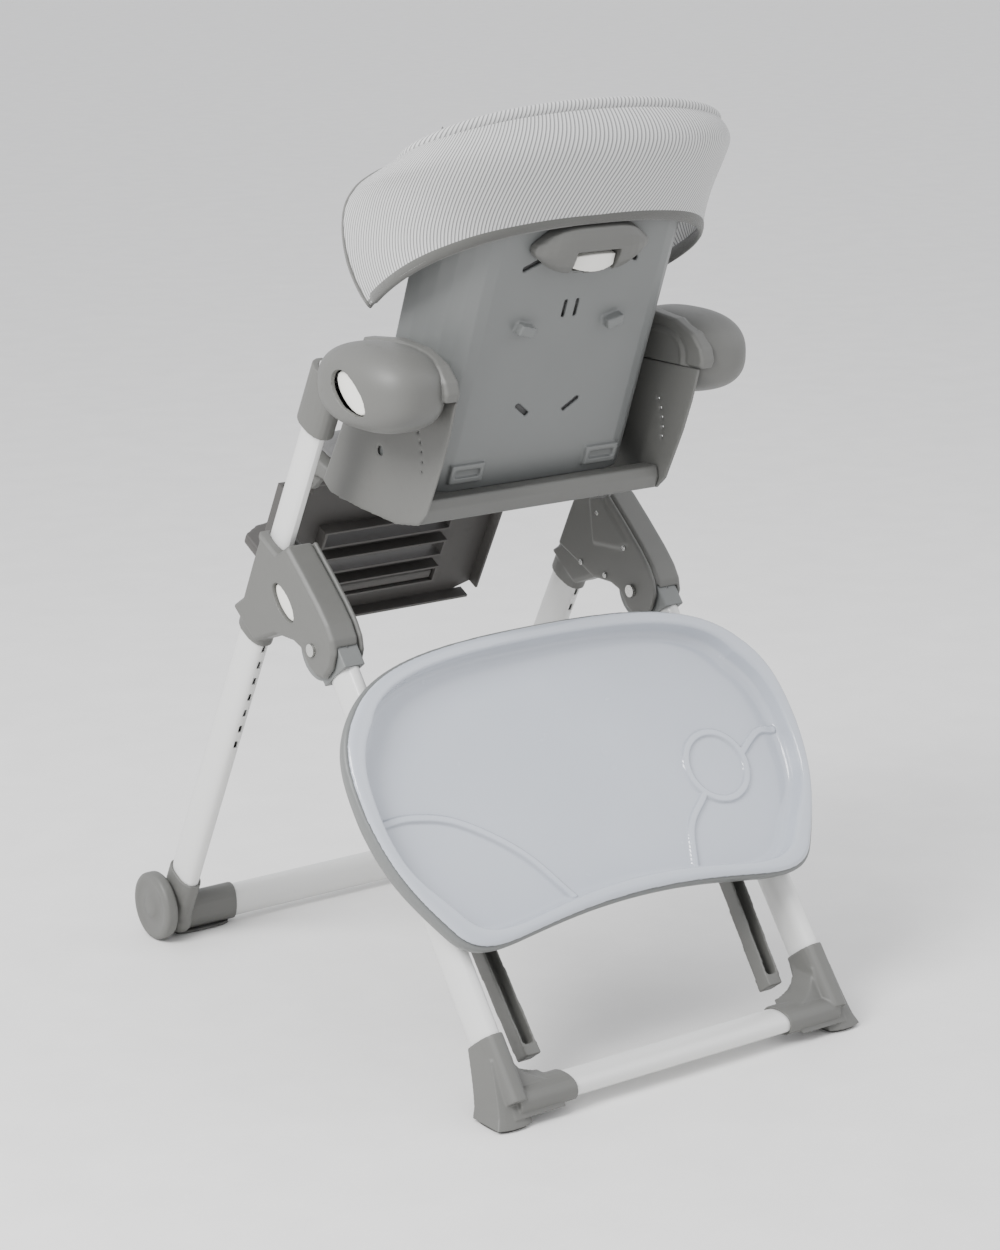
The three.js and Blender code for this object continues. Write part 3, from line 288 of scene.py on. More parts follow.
# ------------------------------------------------------------------ finishes
@dataclass(frozen=True)
class MouldedPlastic:
    """Moulded plastic with a fine grain, faint flow clouds and scuffs."""

    name: str
    colour: Triple
    roughness: float = 0.5
    grain: float = 0.0011
    depth: float = 0.00006
    coat: float = 0.0

    @cache
    def material(self) -> bpy.types.Material:
        """Makes the material.

        Returns:
            The material, made once.
        """
        shader = Shader(self.name)
        place = shader.place()
        clouds = shader.noise(place, 0.09, 4)
        scuffs = shader.noise(place, 0.012, 8).band(0.56, 0.74)
        grain = shader.noise(place, self.grain, 2)
        light = tuple(min(1, c * 1.05) for c in self.colour)
        dark = tuple(c * 0.93 for c in self.colour)
        tone = shader.mix(clouds, dark, light)
        worn = shader.mix(scuffs * 0.12, tone, tuple(min(1, c * 1.25) for c in self.colour))
        return shader.finish(
            Base_Color=worn, Roughness=self.roughness + scuffs * 0.1 + (grain - 0.5) * 0.12,
            Coat_Weight=self.coat, Coat_Roughness=0.15, Normal=shader.bump(grain, self.depth))


@dataclass(frozen=True)
class Enamel:
    """Baked enamel on steel tube: smooth, a little glossy, with a faint orange peel."""

    name: str
    colour: Triple

    @cache
    def material(self) -> bpy.types.Material:
        """Makes the material.

        Returns:
            The material, made once.
        """
        shader = Shader(self.name)
        place = shader.place()
        peel = shader.noise(place, 0.004, 2)
        clouds = shader.noise(place, 0.2, 2)
        rubbed = shader.noise(place, 0.03, 6).band(0.6, 0.8)
        tone = shader.mix(clouds, tuple(c * 0.97 for c in self.colour), self.colour)
        return shader.finish(
            Base_Color=tone, Roughness=0.3 + rubbed * 0.12 + clouds * 0.05, Coat_Weight=0.35,
            Coat_Roughness=0.12, Normal=shader.bump(peel, 0.00008))


@dataclass(frozen=True)
class BareSteel:
    """Turned or pressed steel with fine brushed lines."""

    name: str
    colour: Triple = (0.62, 0.62, 0.6)

    @cache
    def material(self) -> bpy.types.Material:
        """Makes the material.

        Returns:
            The material, made once.
        """
        shader = Shader(self.name)
        place = shader.place()
        brushed = (shader.along(place, (0, 900, 2100)) + shader.noise(place, 0.004) * 8).wave()
        stains = shader.noise(place, 0.006, 5)
        tone = shader.mix(stains, tuple(c * 0.85 for c in self.colour), self.colour)
        return shader.finish(Base_Color=tone, Metallic=1.0, Roughness=0.25 + brushed * 0.15,
                             Normal=shader.bump(brushed, 0.00002))


@dataclass(frozen=True)
class Rubber:
    """Dark moulded rubber with a dusty bloom."""

    name: str
    colour: Triple

    @cache
    def material(self) -> bpy.types.Material:
        """Makes the material.

        Returns:
            The material, made once.
        """
        shader = Shader(self.name)
        place = shader.place()
        bloom = shader.noise(place, 0.02, 6).band(0.4, 0.75)
        tone = shader.mix(bloom, self.colour, tuple(c * 1.6 for c in self.colour))
        return shader.finish(Base_Color=tone, Roughness=0.75 + bloom * 0.15,
                             Normal=shader.bump(shader.noise(place, 0.0015), 0.0001))


@dataclass(frozen=True)
class StripedTwill:
    """Light cloth with fine slanting stripes, drawn on the flat cloth before it is sewn."""

    name: str
    ground: Triple
    stripe: Triple
    pitch: float = 0.0048
    slant: Triple = (0.927, 0.375, 0)

    @cache
    def material(self) -> bpy.types.Material:
        """Makes the material.

        Returns:
            The material, made once.
        """
        shader = Shader(self.name)
        flat = shader.cloth()
        wander = shader.noise(flat, 0.05, 2)
        across = shader.along(flat, tuple(2 * math.pi / self.pitch * c for c in self.slant))
        line = (across + wander * 0.8).wave()
        thread = shader.along(flat, (2 * math.pi / 0.0013, 0, 0)).wave() * shader.along(
            flat, (0, 2 * math.pi / 0.0013, 0)).wave()
        fuzz = shader.noise(flat, 0.0009, 3)
        mask = line.band(0.55, 0.85) * (0.75 + fuzz * 0.4)
        tone = shader.mix(mask, shader.mix(wander, tuple(c * 0.95 for c in self.ground), self.ground),
                          self.stripe)
        relief = shader.bump(thread + fuzz * 0.5, 0.00015, shader.bump(line, 0.00025))
        return shader.finish(Base_Color=tone, Roughness=0.88 + fuzz * 0.08, Sheen_Weight=0.25,
                             Sheen_Roughness=0.5, Normal=relief)


@dataclass(frozen=True)
class WovenCloth:
    """Plain woven cloth, for cushions, bindings and webbing."""

    name: str
    colour: Triple
    thread: float = 0.0016
    depth: float = 0.00018
    sheen: float = 0.3

    @cache
    def material(self) -> bpy.types.Material:
        """Makes the material.

        Returns:
            The material, made once.
        """
        shader = Shader(self.name)
        place = shader.place()
        turn = 2 * math.pi / self.thread
        weft = shader.along(place, (turn, 0, 0)).wave()
        warp = shader.along(place, (0, turn * 0.7, turn * 0.7)).wave()
        weave = weft * warp + (1 - weft) * (1 - warp)
        fuzz = shader.noise(place, 0.0008, 3)
        clouds = shader.noise(place, 0.06, 4)
        tone = shader.mix(weave * 0.5 + clouds * 0.5, tuple(c * 0.82 for c in self.colour),
                          tuple(min(1, c * 1.14) for c in self.colour))
        return shader.finish(
            Base_Color=tone, Roughness=0.86 + fuzz * 0.1, Sheen_Weight=self.sheen, Sheen_Roughness=0.5,
            Normal=shader.bump(weave + fuzz * 0.4, self.depth))


@dataclass(frozen=True)
class MilkyPlastic:
    """The tray liner's clear plastic, which looks milky and blue over the grey beneath, with painted
    highlights on its rib tops and painted shade on their slopes.
    """

    name: str
    colour: Triple

    @cache
    def material(self) -> bpy.types.Material:
        """Makes the material.

        Returns:
            The material, made once.
        """
        shader = Shader(self.name)
        place = shader.place()
        clouds = shader.noise(place, 0.16, 3)
        wipes = shader.noise(place, 0.03, 7).band(0.5, 0.8)
        # Painted light: the rib relief paints the rib tops lighter as a highlight and their slopes darker as
        # shade.
        relief = shader.node("ShaderNodeAttribute", {"attribute_name": "relief"}, output="Fac")
        painted_slope_shade = relief * (1 - relief) * 4
        light = shader.mix(relief * 0.45, self.colour, tuple(min(1, c * 1.2) for c in self.colour))
        flat = shader.mix(clouds, tuple(c * 0.9 for c in self.colour), light)
        tone = shader.mix(painted_slope_shade * 0.55, flat, tuple(c * 0.72 for c in self.colour))
        return shader.finish(
            Base_Color=tone, Roughness=0.16 + wipes * 0.14, Coat_Weight=0.6, Coat_Roughness=0.06,
            Normal=shader.bump(clouds, 0.003))


class Look:
    """Every finish on the chair."""

    GREY = MouldedPlastic("grey_plastic", srgb(96, 96, 93))
    PALE = MouldedPlastic("pale_plastic", srgb(108, 110, 109), 0.46)
    DARK = MouldedPlastic("dark_plastic", srgb(70, 68, 66), 0.52)
    IVORY = MouldedPlastic("ivory_plastic", srgb(232, 231, 224), 0.35, 0.002, 0.00002, 0.3)
    TUBE = Enamel("tube_enamel", srgb(214, 214, 212))
    STEEL = BareSteel("bare_steel")
    RUBBER = Rubber("rubber", srgb(70, 70, 68))
    TWILL = StripedTwill("striped_twill", srgb(198, 198, 197), srgb(118, 118, 118))
    PAD = WovenCloth("pad_cloth", srgb(86, 86, 86))
    BINDING = WovenCloth("binding", srgb(84, 84, 81), 0.0012)
    WEBBING = WovenCloth("webbing", srgb(72, 73, 74), 0.0022, 0.0003, 0.15)
    LINER = MilkyPlastic("milky_liner", srgb(184, 189, 198))


Finish = MouldedPlastic | Enamel | BareSteel | Rubber | StripedTwill | WovenCloth | MilkyPlastic


# ------------------------------------------------------------------ meshes
def mesh_object(name: str, points: Sequence[Sequence[float]],
                faces: Sequence[Sequence[int]]) -> bpy.types.Object:
    """Makes a smooth-shaded object whose faces point outwards.

    Args:
        name: Its name.
        points: The corners, in metres.
        faces: The corner numbers of each face.

    Returns:
        The new object.
    """
    mesh = bpy.data.meshes.new(name)
    mesh.from_pydata([tuple(point) for point in points], [], faces)
    shape = bmesh.new()
    shape.from_mesh(mesh)
    bmesh.ops.recalc_face_normals(shape, faces=shape.faces)
    shape.to_mesh(mesh)
    shape.free()
    mesh.shade_smooth()
    piece = bpy.data.objects.new(name, mesh)
    bpy.context.collection.objects.link(piece)
    return piece


def loft(name: str, rings: Sequence[Sequence[Sequence[float]]]) -> bpy.types.Object:
    """Skins a closed piece over rings that all have the same number of points.

    Args:
        name: Its name.
        rings: The rings, from one end to the other.

    Returns:
        The new object, capped at both ends.
    """
    count = len(rings[0])
    points = [point for ring in rings for point in ring]
    faces = [list(range(count)), [(len(rings) - 1) * count + i for i in range(count)]]
    for low in range(0, (len(rings) - 1) * count, count):
        faces += [[low + i, low + (i + 1) % count, low + count + (i + 1) % count, low + count + i]
                  for i in range(count)]
    return mesh_object(name, points, faces)


def grid(name: str, place: Placer, columns: int, rows: int, size: tuple[float, float]) -> bpy.types.Object:
    """Makes an open sheet that knows where each point lay on the flat cloth.

    Args:
        name: Its name.
        place: Gives a point for two shares that run from 0 to 1.
        columns, rows: How many faces each way.
        size: The flat cloth's width and length.

    Returns:
        The new object.
    """
    shares = [(i / columns, j / rows) for j in range(rows + 1) for i in range(columns + 1)]
    wide = columns + 1
    faces = [[j * wide + i, j * wide + i + 1, (j + 1) * wide + i + 1, (j + 1) * wide + i]
             for j in range(rows) for i in range(columns)]
    piece = mesh_object(name, [place(u, v) for u, v in shares], faces)
    mark_cloth(piece, [(u * size[0], v * size[1], 0) for u, v in shares])
    return piece


def mark_cloth(piece: bpy.types.Object, flat: Sequence[Triple]) -> None:
    """Stores where each point lay on the flat cloth."""
    layer = piece.data.attributes.new("cloth", "FLOAT_VECTOR", "POINT")
    layer.data.foreach_set("vector", np.array(flat, dtype=np.float32).ravel())


def turned(name: str, profile: Sequence[tuple[float, float]], centre: Triple, axis: Triple,
           steps: int = 96) -> bpy.types.Object:
    """Turns a closed round piece about an axis.

    Args:
        name: Its name.
        profile: (distance along the axis, radius) pairs, in metres.
        centre: Where the axis starts.
        axis: Its direction.
        steps: How many facets go round.

    Returns:
        The new object.
    """
    turn = Vector((0, 0, 1)).rotation_difference(Vector(axis)).to_matrix()
    rings = [[Vector(centre) + turn @ Vector((radius * math.cos(a), radius * math.sin(a), along))
              for a in (2 * math.pi * i / steps for i in range(steps))]
             for along, radius in profile]
    return loft(name, rings)


def curve_through(stops: Sequence[Sequence[float]], steps: int = 12) -> list[Vector]:
    """Smooth points through the given ones.

    Args:
        stops: The points to pass through.
        steps: How many points from each stop to the next.

    Returns:
        The points.
    """
    marks = [Vector(stop) for stop in stops]
    ends = [2 * marks[0] - marks[1], *marks, 2 * marks[-1] - marks[-2]]
    line = []
    for a, b, c, d in zip(ends, ends[1:], ends[2:], ends[3:]):
        for step in range(steps):
            t = step / steps
            line.append(0.5 * (2 * b + (c - a) * t + (2 * a - 5 * b + 4 * c - d) * t ** 2
                               + (3 * b - a - 3 * c + d) * t ** 3))
    return [*line, marks[-1]]


def strip(name: str, line: Sequence[Vector], across: Callable[[float], Vector], width: float,
          thick: float) -> bpy.types.Object:
    """Makes a flat band with rounded edges, such as webbing, along a line.

    Args:
        name: Its name.
        line: The points that it follows.
        across: The direction of its width, for a share of its length.
        width, thick: Its section.

    Returns:
        The new object.
    """
    edge = thick / 2
    section = [(width / 2 - edge, edge), (width / 2 - edge * 0.3, edge * 0.75), (width / 2, 0),
               (width / 2 - edge * 0.3, -edge * 0.75), (width / 2 - edge, -edge)]
    section += [(-x, y) for x, y in reversed(section)]
    rings, flat, run = [], [], 0.0
    for i, point in enumerate(line):
        ahead = line[min(i + 1, len(line) - 1)] - line[max(i - 1, 0)]
        side = across(i / (len(line) - 1)).normalized()
        up = ahead.cross(side).normalized()
        rings.append([point + x * side + y * up for x, y in section])
        flat += [(x, run, y) for x, y in section]
        run += (line[min(i + 1, len(line) - 1)] - point).length
    piece = loft(name, rings)
    mark_cloth(piece, flat)
    return piece


def settled_mesh(piece: bpy.types.Object) -> None:
    """Applies every modifier that a piece has.

    Args:
        piece: The piece.
    """
    ready = piece.evaluated_get(bpy.context.evaluated_depsgraph_get())
    mesh = bpy.data.meshes.new_from_object(ready)
    piece.modifiers.clear()
    piece.data = mesh
    mesh.shade_smooth()


def reshape(piece: bpy.types.Object, change: Callable[[np.ndarray], np.ndarray]) -> None:
    """Moves the piece's points.

    Args:
        piece: The piece.
        change: Takes the points, in millimetres, and gives the new ones.
    """
    flat = np.empty(len(piece.data.vertices) * 3, dtype=np.float64)
    piece.data.vertices.foreach_get("co", flat)
    moved = change(flat.reshape(-1, 3) * 1000) / 1000
    piece.data.vertices.foreach_set("co", moved.ravel())
    piece.data.update()


def even_mesh(piece: bpy.types.Object, cell: float, rounds: int) -> None:
    """Rebuilds a closed piece from small even faces, and rounds its edges.

    Args:
        piece: The piece.
        cell: The size of a face, in metres.
        rounds: How many times the points are evened out.
    """
    remesh = piece.modifiers.new("even", "REMESH")
    remesh.mode, remesh.voxel_size = "VOXEL", cell
    if rounds:
        smooth = piece.modifiers.new("round", "SMOOTH")
        smooth.factor, smooth.iterations = 0.5, rounds
    settled_mesh(piece)


@cache
def soft_edges() -> bpy.types.NodeTree:
    """Geometry nodes that shade a faceted piece smoothly and keep its real edges crisp.

    Returns:
        The node tree, made once.
    """
    tree = bpy.data.node_groups.new("soft_edges", "GeometryNodeTree")
    for way in ("INPUT", "OUTPUT"):
        tree.interface.new_socket("Geometry", in_out=way, socket_type="NodeSocketGeometry")
    start, end = tree.nodes.new("NodeGroupInput"), tree.nodes.new("NodeGroupOutput")
    merge = tree.nodes.new("GeometryNodeMergeByDistance")
    merge.inputs["Distance"].default_value = 0.00002
    faces = tree.nodes.new("GeometryNodeSetShadeSmooth")
    edges = tree.nodes.new("GeometryNodeSetShadeSmooth")
    edges.domain = "EDGE"
    angle = tree.nodes.new("GeometryNodeInputMeshEdgeAngle")
    flat = tree.nodes.new("FunctionNodeCompare")
    flat.operation = "LESS_THAN"
    flat.inputs["B"].default_value = math.radians(32)
    tree.links.new(angle.outputs["Unsigned Angle"], flat.inputs["A"])
    tree.links.new(flat.outputs[0], edges.inputs["Shade Smooth"])
    for a, b in ((start, merge), (merge, faces), (faces, edges), (edges, end)):
        tree.links.new(a.outputs[0], b.inputs[0])
    return tree


# ------------------------------------------------------------------ making
class Maker:
    """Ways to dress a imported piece, to round it, and to settle a new one on its body."""

    def paint(self, piece: bpy.types.Object, finish: Finish) -> None:
        """Gives a piece one finish all over.

        Args:
            piece: The piece.
            finish: What it is made of.
        """
        material = finish.material()
        if not piece.material_slots:
            piece.data.materials.append(None)
        for spot in piece.material_slots:
            spot.link = "OBJECT"
            spot.material = material

    def dress(self, finish: Finish, *nodes: str) -> None:
        """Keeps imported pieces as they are, with a finish and soft shading.

        Args:
            finish: What they are made of.
            *nodes: Their names.
        """
        for name in nodes:
            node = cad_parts[name]
            self.paint(node, finish)
            node.modifiers.new("soft_edges", "NODES").node_group = soft_edges()
            LOG.info("dressed %s", name)

    def settle(self, piece: bpy.types.Object, body: str, finish: Finish, slot: str,
               *nodes: str) -> bpy.types.Object:
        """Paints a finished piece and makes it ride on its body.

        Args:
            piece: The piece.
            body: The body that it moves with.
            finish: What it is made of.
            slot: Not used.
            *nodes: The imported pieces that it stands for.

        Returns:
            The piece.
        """
        self.paint(piece, finish)
        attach(piece, body)
        if nodes:
            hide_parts(*nodes)
        LOG.info("settled %s on %s", piece.name, body)
        return piece

    def copy(self, node: str, name: str) -> bpy.types.Object:
        """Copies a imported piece.

        Args:
            node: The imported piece.
            name: The copy's name.

        Returns:
            The copy, with no material.
        """
        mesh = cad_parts[node].data.copy()
        mesh.materials.clear()
        piece = bpy.data.objects.new(name, mesh)
        bpy.context.collection.objects.link(piece)
        return piece

    def moulded(self, node: str, body: str, finish: Finish, slot: str, cell: float = 0.0016,
                rounds: int = 6, change: Callable[[np.ndarray], np.ndarray] | None = None
                ) -> bpy.types.Object:
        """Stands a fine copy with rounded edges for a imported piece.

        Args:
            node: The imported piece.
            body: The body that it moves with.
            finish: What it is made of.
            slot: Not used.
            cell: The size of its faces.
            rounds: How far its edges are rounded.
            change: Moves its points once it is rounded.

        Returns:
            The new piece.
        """
        piece = self.copy(node, f"{node}_moulding")
        even_mesh(piece, cell * (1), rounds)
        if change is not None:
            reshape(piece, change)
        return self.settle(piece, body, finish, slot, node)

    def screws(self, name: str, body: str, places: Sequence[Triple], axis: Triple,
               radius: float = 0.0034) -> None:
        """Sets small cross-head screws into a face, as one piece.

        Args:
            name: Their name.
            body: The body that they ride on.
            places: Where the face is, in metres.
            axis: The way that the heads look.
            radius: The heads' radius.
        """
        heads = []
        turn = Vector((0, 0, 1)).rotation_difference(Vector(axis)).to_matrix().to_4x4()
        for number, place in enumerate(places):
            shape = bmesh.new()
            bmesh.ops.create_cone(shape, cap_ends=True, segments=24, radius1=radius, radius2=radius * 0.72,
                                  depth=0.0012)
            for across in (0, 90):
                bmesh.ops.create_cone(
                    shape, cap_ends=True, segments=4, radius1=radius * 0.16, radius2=radius * 0.1,
                    depth=0.0004, matrix=Matrix.Translation((0, 0, 0.0007))
                    @ Matrix.Rotation(math.radians(across), 4, "Z") @ Matrix.Diagonal((6, 1, 1, 1)))
            shape.transform(Matrix.Translation(place) @ turn)
            mesh = bpy.data.meshes.new(f"{name}_{number}")
            shape.to_mesh(mesh)
            shape.free()
            heads.append(mesh)
        merged = bmesh.new()
        for mesh in heads:
            merged.from_mesh(mesh)
        mesh = bpy.data.meshes.new(name)
        merged.to_mesh(mesh)
        merged.free()
        piece = bpy.data.objects.new(name, mesh)
        bpy.context.collection.objects.link(piece)
        self.settle(piece, body, Look.STEEL, "steel")


@dataclass(frozen=True)
class Lean:
    """A flat frame of reference that leans about X: millimetres along, and out from, a line."""

    y: float
    z: float
    angle: float

    def point(self, x: float, along: float, out: float) -> Vector:
        """A point, in metres.

        Args:
            x: Across the chair.
            along: Up the leaning line.
            out: Towards the child's front.

        Returns:
            The point.
        """
        s, c = math.sin(math.radians(self.angle)), math.cos(math.radians(self.angle))
        return Vector((x, self.y + along * s - out * c, self.z + along * c + out * s)) / 1000

    def flat(self, points: np.ndarray) -> tuple[np.ndarray, np.ndarray]:
        """Measures points against the leaning line.

        Args:
            points: The points, in millimetres.

        Returns:
            How far each lies along the line, and out from it.
        """
        s, c = math.sin(math.radians(self.angle)), math.cos(math.radians(self.angle))
        y, z = points[:, 1] - self.y, points[:, 2] - self.z
        return y * s + z * c, z * s - y * c


BACK = Lean(85.6, 627, 20.4)
STORED_TRAY = Lean(314, 86.5, -37.3)


@dataclass
class Cushion(Maker):
    """A stuffed cloth cushion, blown up a little and held in by its stitching."""

    node: str
    body: str
    finish: Finish
    plump: float = 0.006
    channels: tuple[float, ...] = ()
    lean: Lean = BACK
    cell: float = 0.005
    front: Triple = (0, -0.937, 0.349)
    pressure: float = 4
    frames: int = 20
    channel_width: float = 5
    draw_in: float = 0.05

    def build(self) -> bpy.types.Object:
        """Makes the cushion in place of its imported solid.

        Returns:
            The cushion.
        """
        piece = self.copy(self.node, f"{self.node}_cover")
        even_mesh(piece, self.cell, 3)
        self.inflate(piece)
        finer = piece.modifiers.new("finer", "SUBSURF")
        finer.levels = finer.render_levels = 1
        settled_mesh(piece)
        if self.channels:
            reshape(piece, self.stitched_in)
        self.settle(piece, self.body, self.finish, "padding", self.node)
        return piece

    def inflate(self, piece: bpy.types.Object) -> None:
        """Lets the cover swell towards the child as stuffed cloth does, up to the plump size.

        Args:
            piece: The cover.
        """
        before = np.empty(len(piece.data.vertices) * 3)
        piece.data.vertices.foreach_get("co", before)
        cloth = piece.modifiers.new("cloth", "CLOTH")
        cloth.settings.use_pressure = True
        cloth.settings.uniform_pressure_force = self.pressure
        cloth.settings.quality = 5
        cloth.settings.effector_weights.gravity = 0
        cloth.collision_settings.use_collision = False
        cloth.point_cache.frame_start, cloth.point_cache.frame_end = 1, self.frames
        for number in range(1, self.frames + 1):
            bpy.context.scene.frame_set(number)
        settled_mesh(piece)
        bpy.context.scene.frame_set(1)
        after = np.empty_like(before)
        piece.data.vertices.foreach_get("co", after)
        move = (after - before).reshape(-1, 3)
        swell = np.clip(move @ np.array(self.front), 0, self.plump)[:, None] * self.front
        piece.data.vertices.foreach_set("co", (before.reshape(-1, 3) + swell).ravel())

    def stitched_in(self, points: np.ndarray) -> np.ndarray:
        """Draws the cover in along each stitched channel.

        Args:
            points: The cover's points, in millimetres.

        Returns:
            The moved points.
        """
        along, _ = self.lean.flat(points)
        middle = points.mean(axis=0)
        for channel in self.channels:
            dip = np.exp(-((along - channel) / self.channel_width) ** 2)[:, None] * self.draw_in
            points = points + (middle - points) * dip * (0, 1, 0)
        return points


@dataclass
class LegFrame(Maker):
    """The two A-frames: tubes, crossbars, hubs, feet and wheels."""

    wheel_profile: tuple[tuple[float, float], ...] = (
        (0, 0), (0, 11), (1.2, 12.5), (1.2, 30), (0.4, 32), (0.6, 38), (1.6, 41), (3.6, 42.7), (6, 43),
        (12, 43), (14.4, 42.6), (16.4, 41), (17.3, 38), (17.3, 34), (16.3, 31.5), (15.6, 26), (15.8, 15),
        (17.2, 13), (18.2, 10.5), (18.7, 5), (18.8, 0))
    cover_screws: tuple[tuple[float, float], ...] = ((-50, 539), (2, 505), (-82, 471), (-34, 464))

    def build(self) -> None:
        """Makes both sides."""
        self.dress(Look.TUBE, "front_crossbar", "rear_crossbar")
        for side in Side:
            tail = side.tail
            self.dress(Look.TUBE, f"front_leg_tube{tail}", f"rear_leg_tube{tail}")
            self.dress(Look.STEEL, f"fold_pin{tail}", f"wheel_axle{tail}")
            self.dress(Look.RUBBER, f"front_foot_pad{tail}", f"rear_foot_pad{tail}")
            self.moulded(f"front_foot{tail}", "front_frame", Look.GREY, "grey_plastic", 0.0012, 5)
            self.moulded(f"rear_foot{tail}", "rear_frame", Look.GREY, "grey_plastic", 0.0012, 5)
            self.moulded(f"leg_hub{tail}", "front_frame", Look.GREY, "grey_plastic", 0.0012, 7)
            self.moulded(f"leg_hub_cover{tail}", "front_frame", Look.GREY, "grey_plastic", 0.0018, 3)
            self.moulded(f"rear_leg_knuckle{tail}", "rear_frame", Look.PALE, "pale_plastic", 0.0013, 4)
            self.moulded(f"fold_trigger{tail}", f"fold_trigger{tail}", Look.IVORY, "ivory_plastic",
                         0.0007, 8)
            self.wheel(side)
            self.hub_screws(side)

    def wheel(self, side: Side) -> None:
        """Makes a front wheel with a tread band, a dished face and a hub cap.

        Args:
            side: Which wheel.
        """
        low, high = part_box(f"front_wheel{side.tail}")
        inner = low[0] if side is Side.LEFT else high[0]
        profile = [(along / 1000, max(radius, 0.01) / 1000) for along, radius in self.wheel_profile]
        centre = (inner, (low[1] + high[1]) / 2, (low[2] + high[2]) / 2)
        piece = turned(f"wheel{side.tail}", profile, centre, (side.value, 0, 0))
        self.settle(piece, f"wheel{side.tail}", Look.GREY, "grey_plastic", f"front_wheel{side.tail}")

    def hub_screws(self, side: Side) -> None:
        """Sets the screws of a hub's inner cover.

        Args:
            side: Which hub.
        """
        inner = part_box(f"leg_hub_cover{side.tail}")[0 if side is Side.LEFT else 1][0]
        self.screws(f"cover_screws{side.tail}", "front_frame",
                    [(inner, y / 1000, z / 1000) for y, z in self.cover_screws], (-side.value, 0, 0))


@dataclass
class SeatUnit(Maker):
    """The seat tub, its side panels, the sliding tubes and the armrests that ride on them."""

    arm_centre: Triple = (212, 103, 764)
    arm_reach: Triple = (52, 86, 48)
    arm_power: float = 2.5

    def build(self) -> None:
        """Makes the seat."""
        self.moulded("seat_tub", "seat", Look.GREY, "grey_plastic", 0.0019, 3)
        Cushion("seat_cushion", "seat", Look.PAD, front=(0, 0, 1)).build()
        for side in Side:
            tail = side.tail
            self.dress(Look.TUBE, f"seat_slide_tube{tail}")
            self.moulded(f"side_panel{tail}", "seat", Look.GREY, "grey_plastic", 0.0016, 4)
            self.moulded(f"armrest{tail}", "seat", Look.GREY, "grey_plastic", 0.0013, 4,
                         lambda points, side=side: self.swell(points, side))
            self.moulded(f"height_trigger{tail}", f"height_trigger{tail}", Look.IVORY, "ivory_plastic",
                         0.0007, 8)

    def swell(self, points: np.ndarray, side: Side) -> np.ndarray:
        """Moves an armrest's outer skin onto its true egg shape.

        Args:
            points: The armrest's points.
            side: Which armrest.

        Returns:
            The moved points.
        """
        centre = np.array(self.arm_centre) * (side.value, 1, 1)
        away = points - centre
        size = (np.abs(away / self.arm_reach) ** self.arm_power).sum(axis=1) ** (1 / self.arm_power)
        off = np.abs(size - 1) * np.linalg.norm(away, axis=1) / np.maximum(size, 0.01)
        pull = np.clip((3.2 - off) / 1.6, 0, 1)
        return centre + away * (1 + pull * (1 / np.maximum(size, 0.01) - 1))[:, None]


@dataclass
class Backrest(Maker):
    """The reclining shell with its handle, and the cushions that lie in it."""

    def build(self) -> None:
        """Makes the backrest."""
        self.moulded("back_shell", "backrest", Look.PALE, "pale_plastic", 0.0014, 3)
        self.moulded("recline_handle", "backrest", Look.GREY, "grey_plastic", 0.0012, 6)
        self.moulded("recline_trigger", "recline_trigger", Look.IVORY, "ivory_plastic", 0.0008, 6,
                     lambda points: points.mean(axis=0) + (points - points.mean(axis=0)) * 0.96)
        Cushion("back_cushion", "backrest", Look.PAD, channels=(130, 215, 300)).build()
        Cushion("head_cushion", "backrest", Look.PAD, channels=(330,)).build()


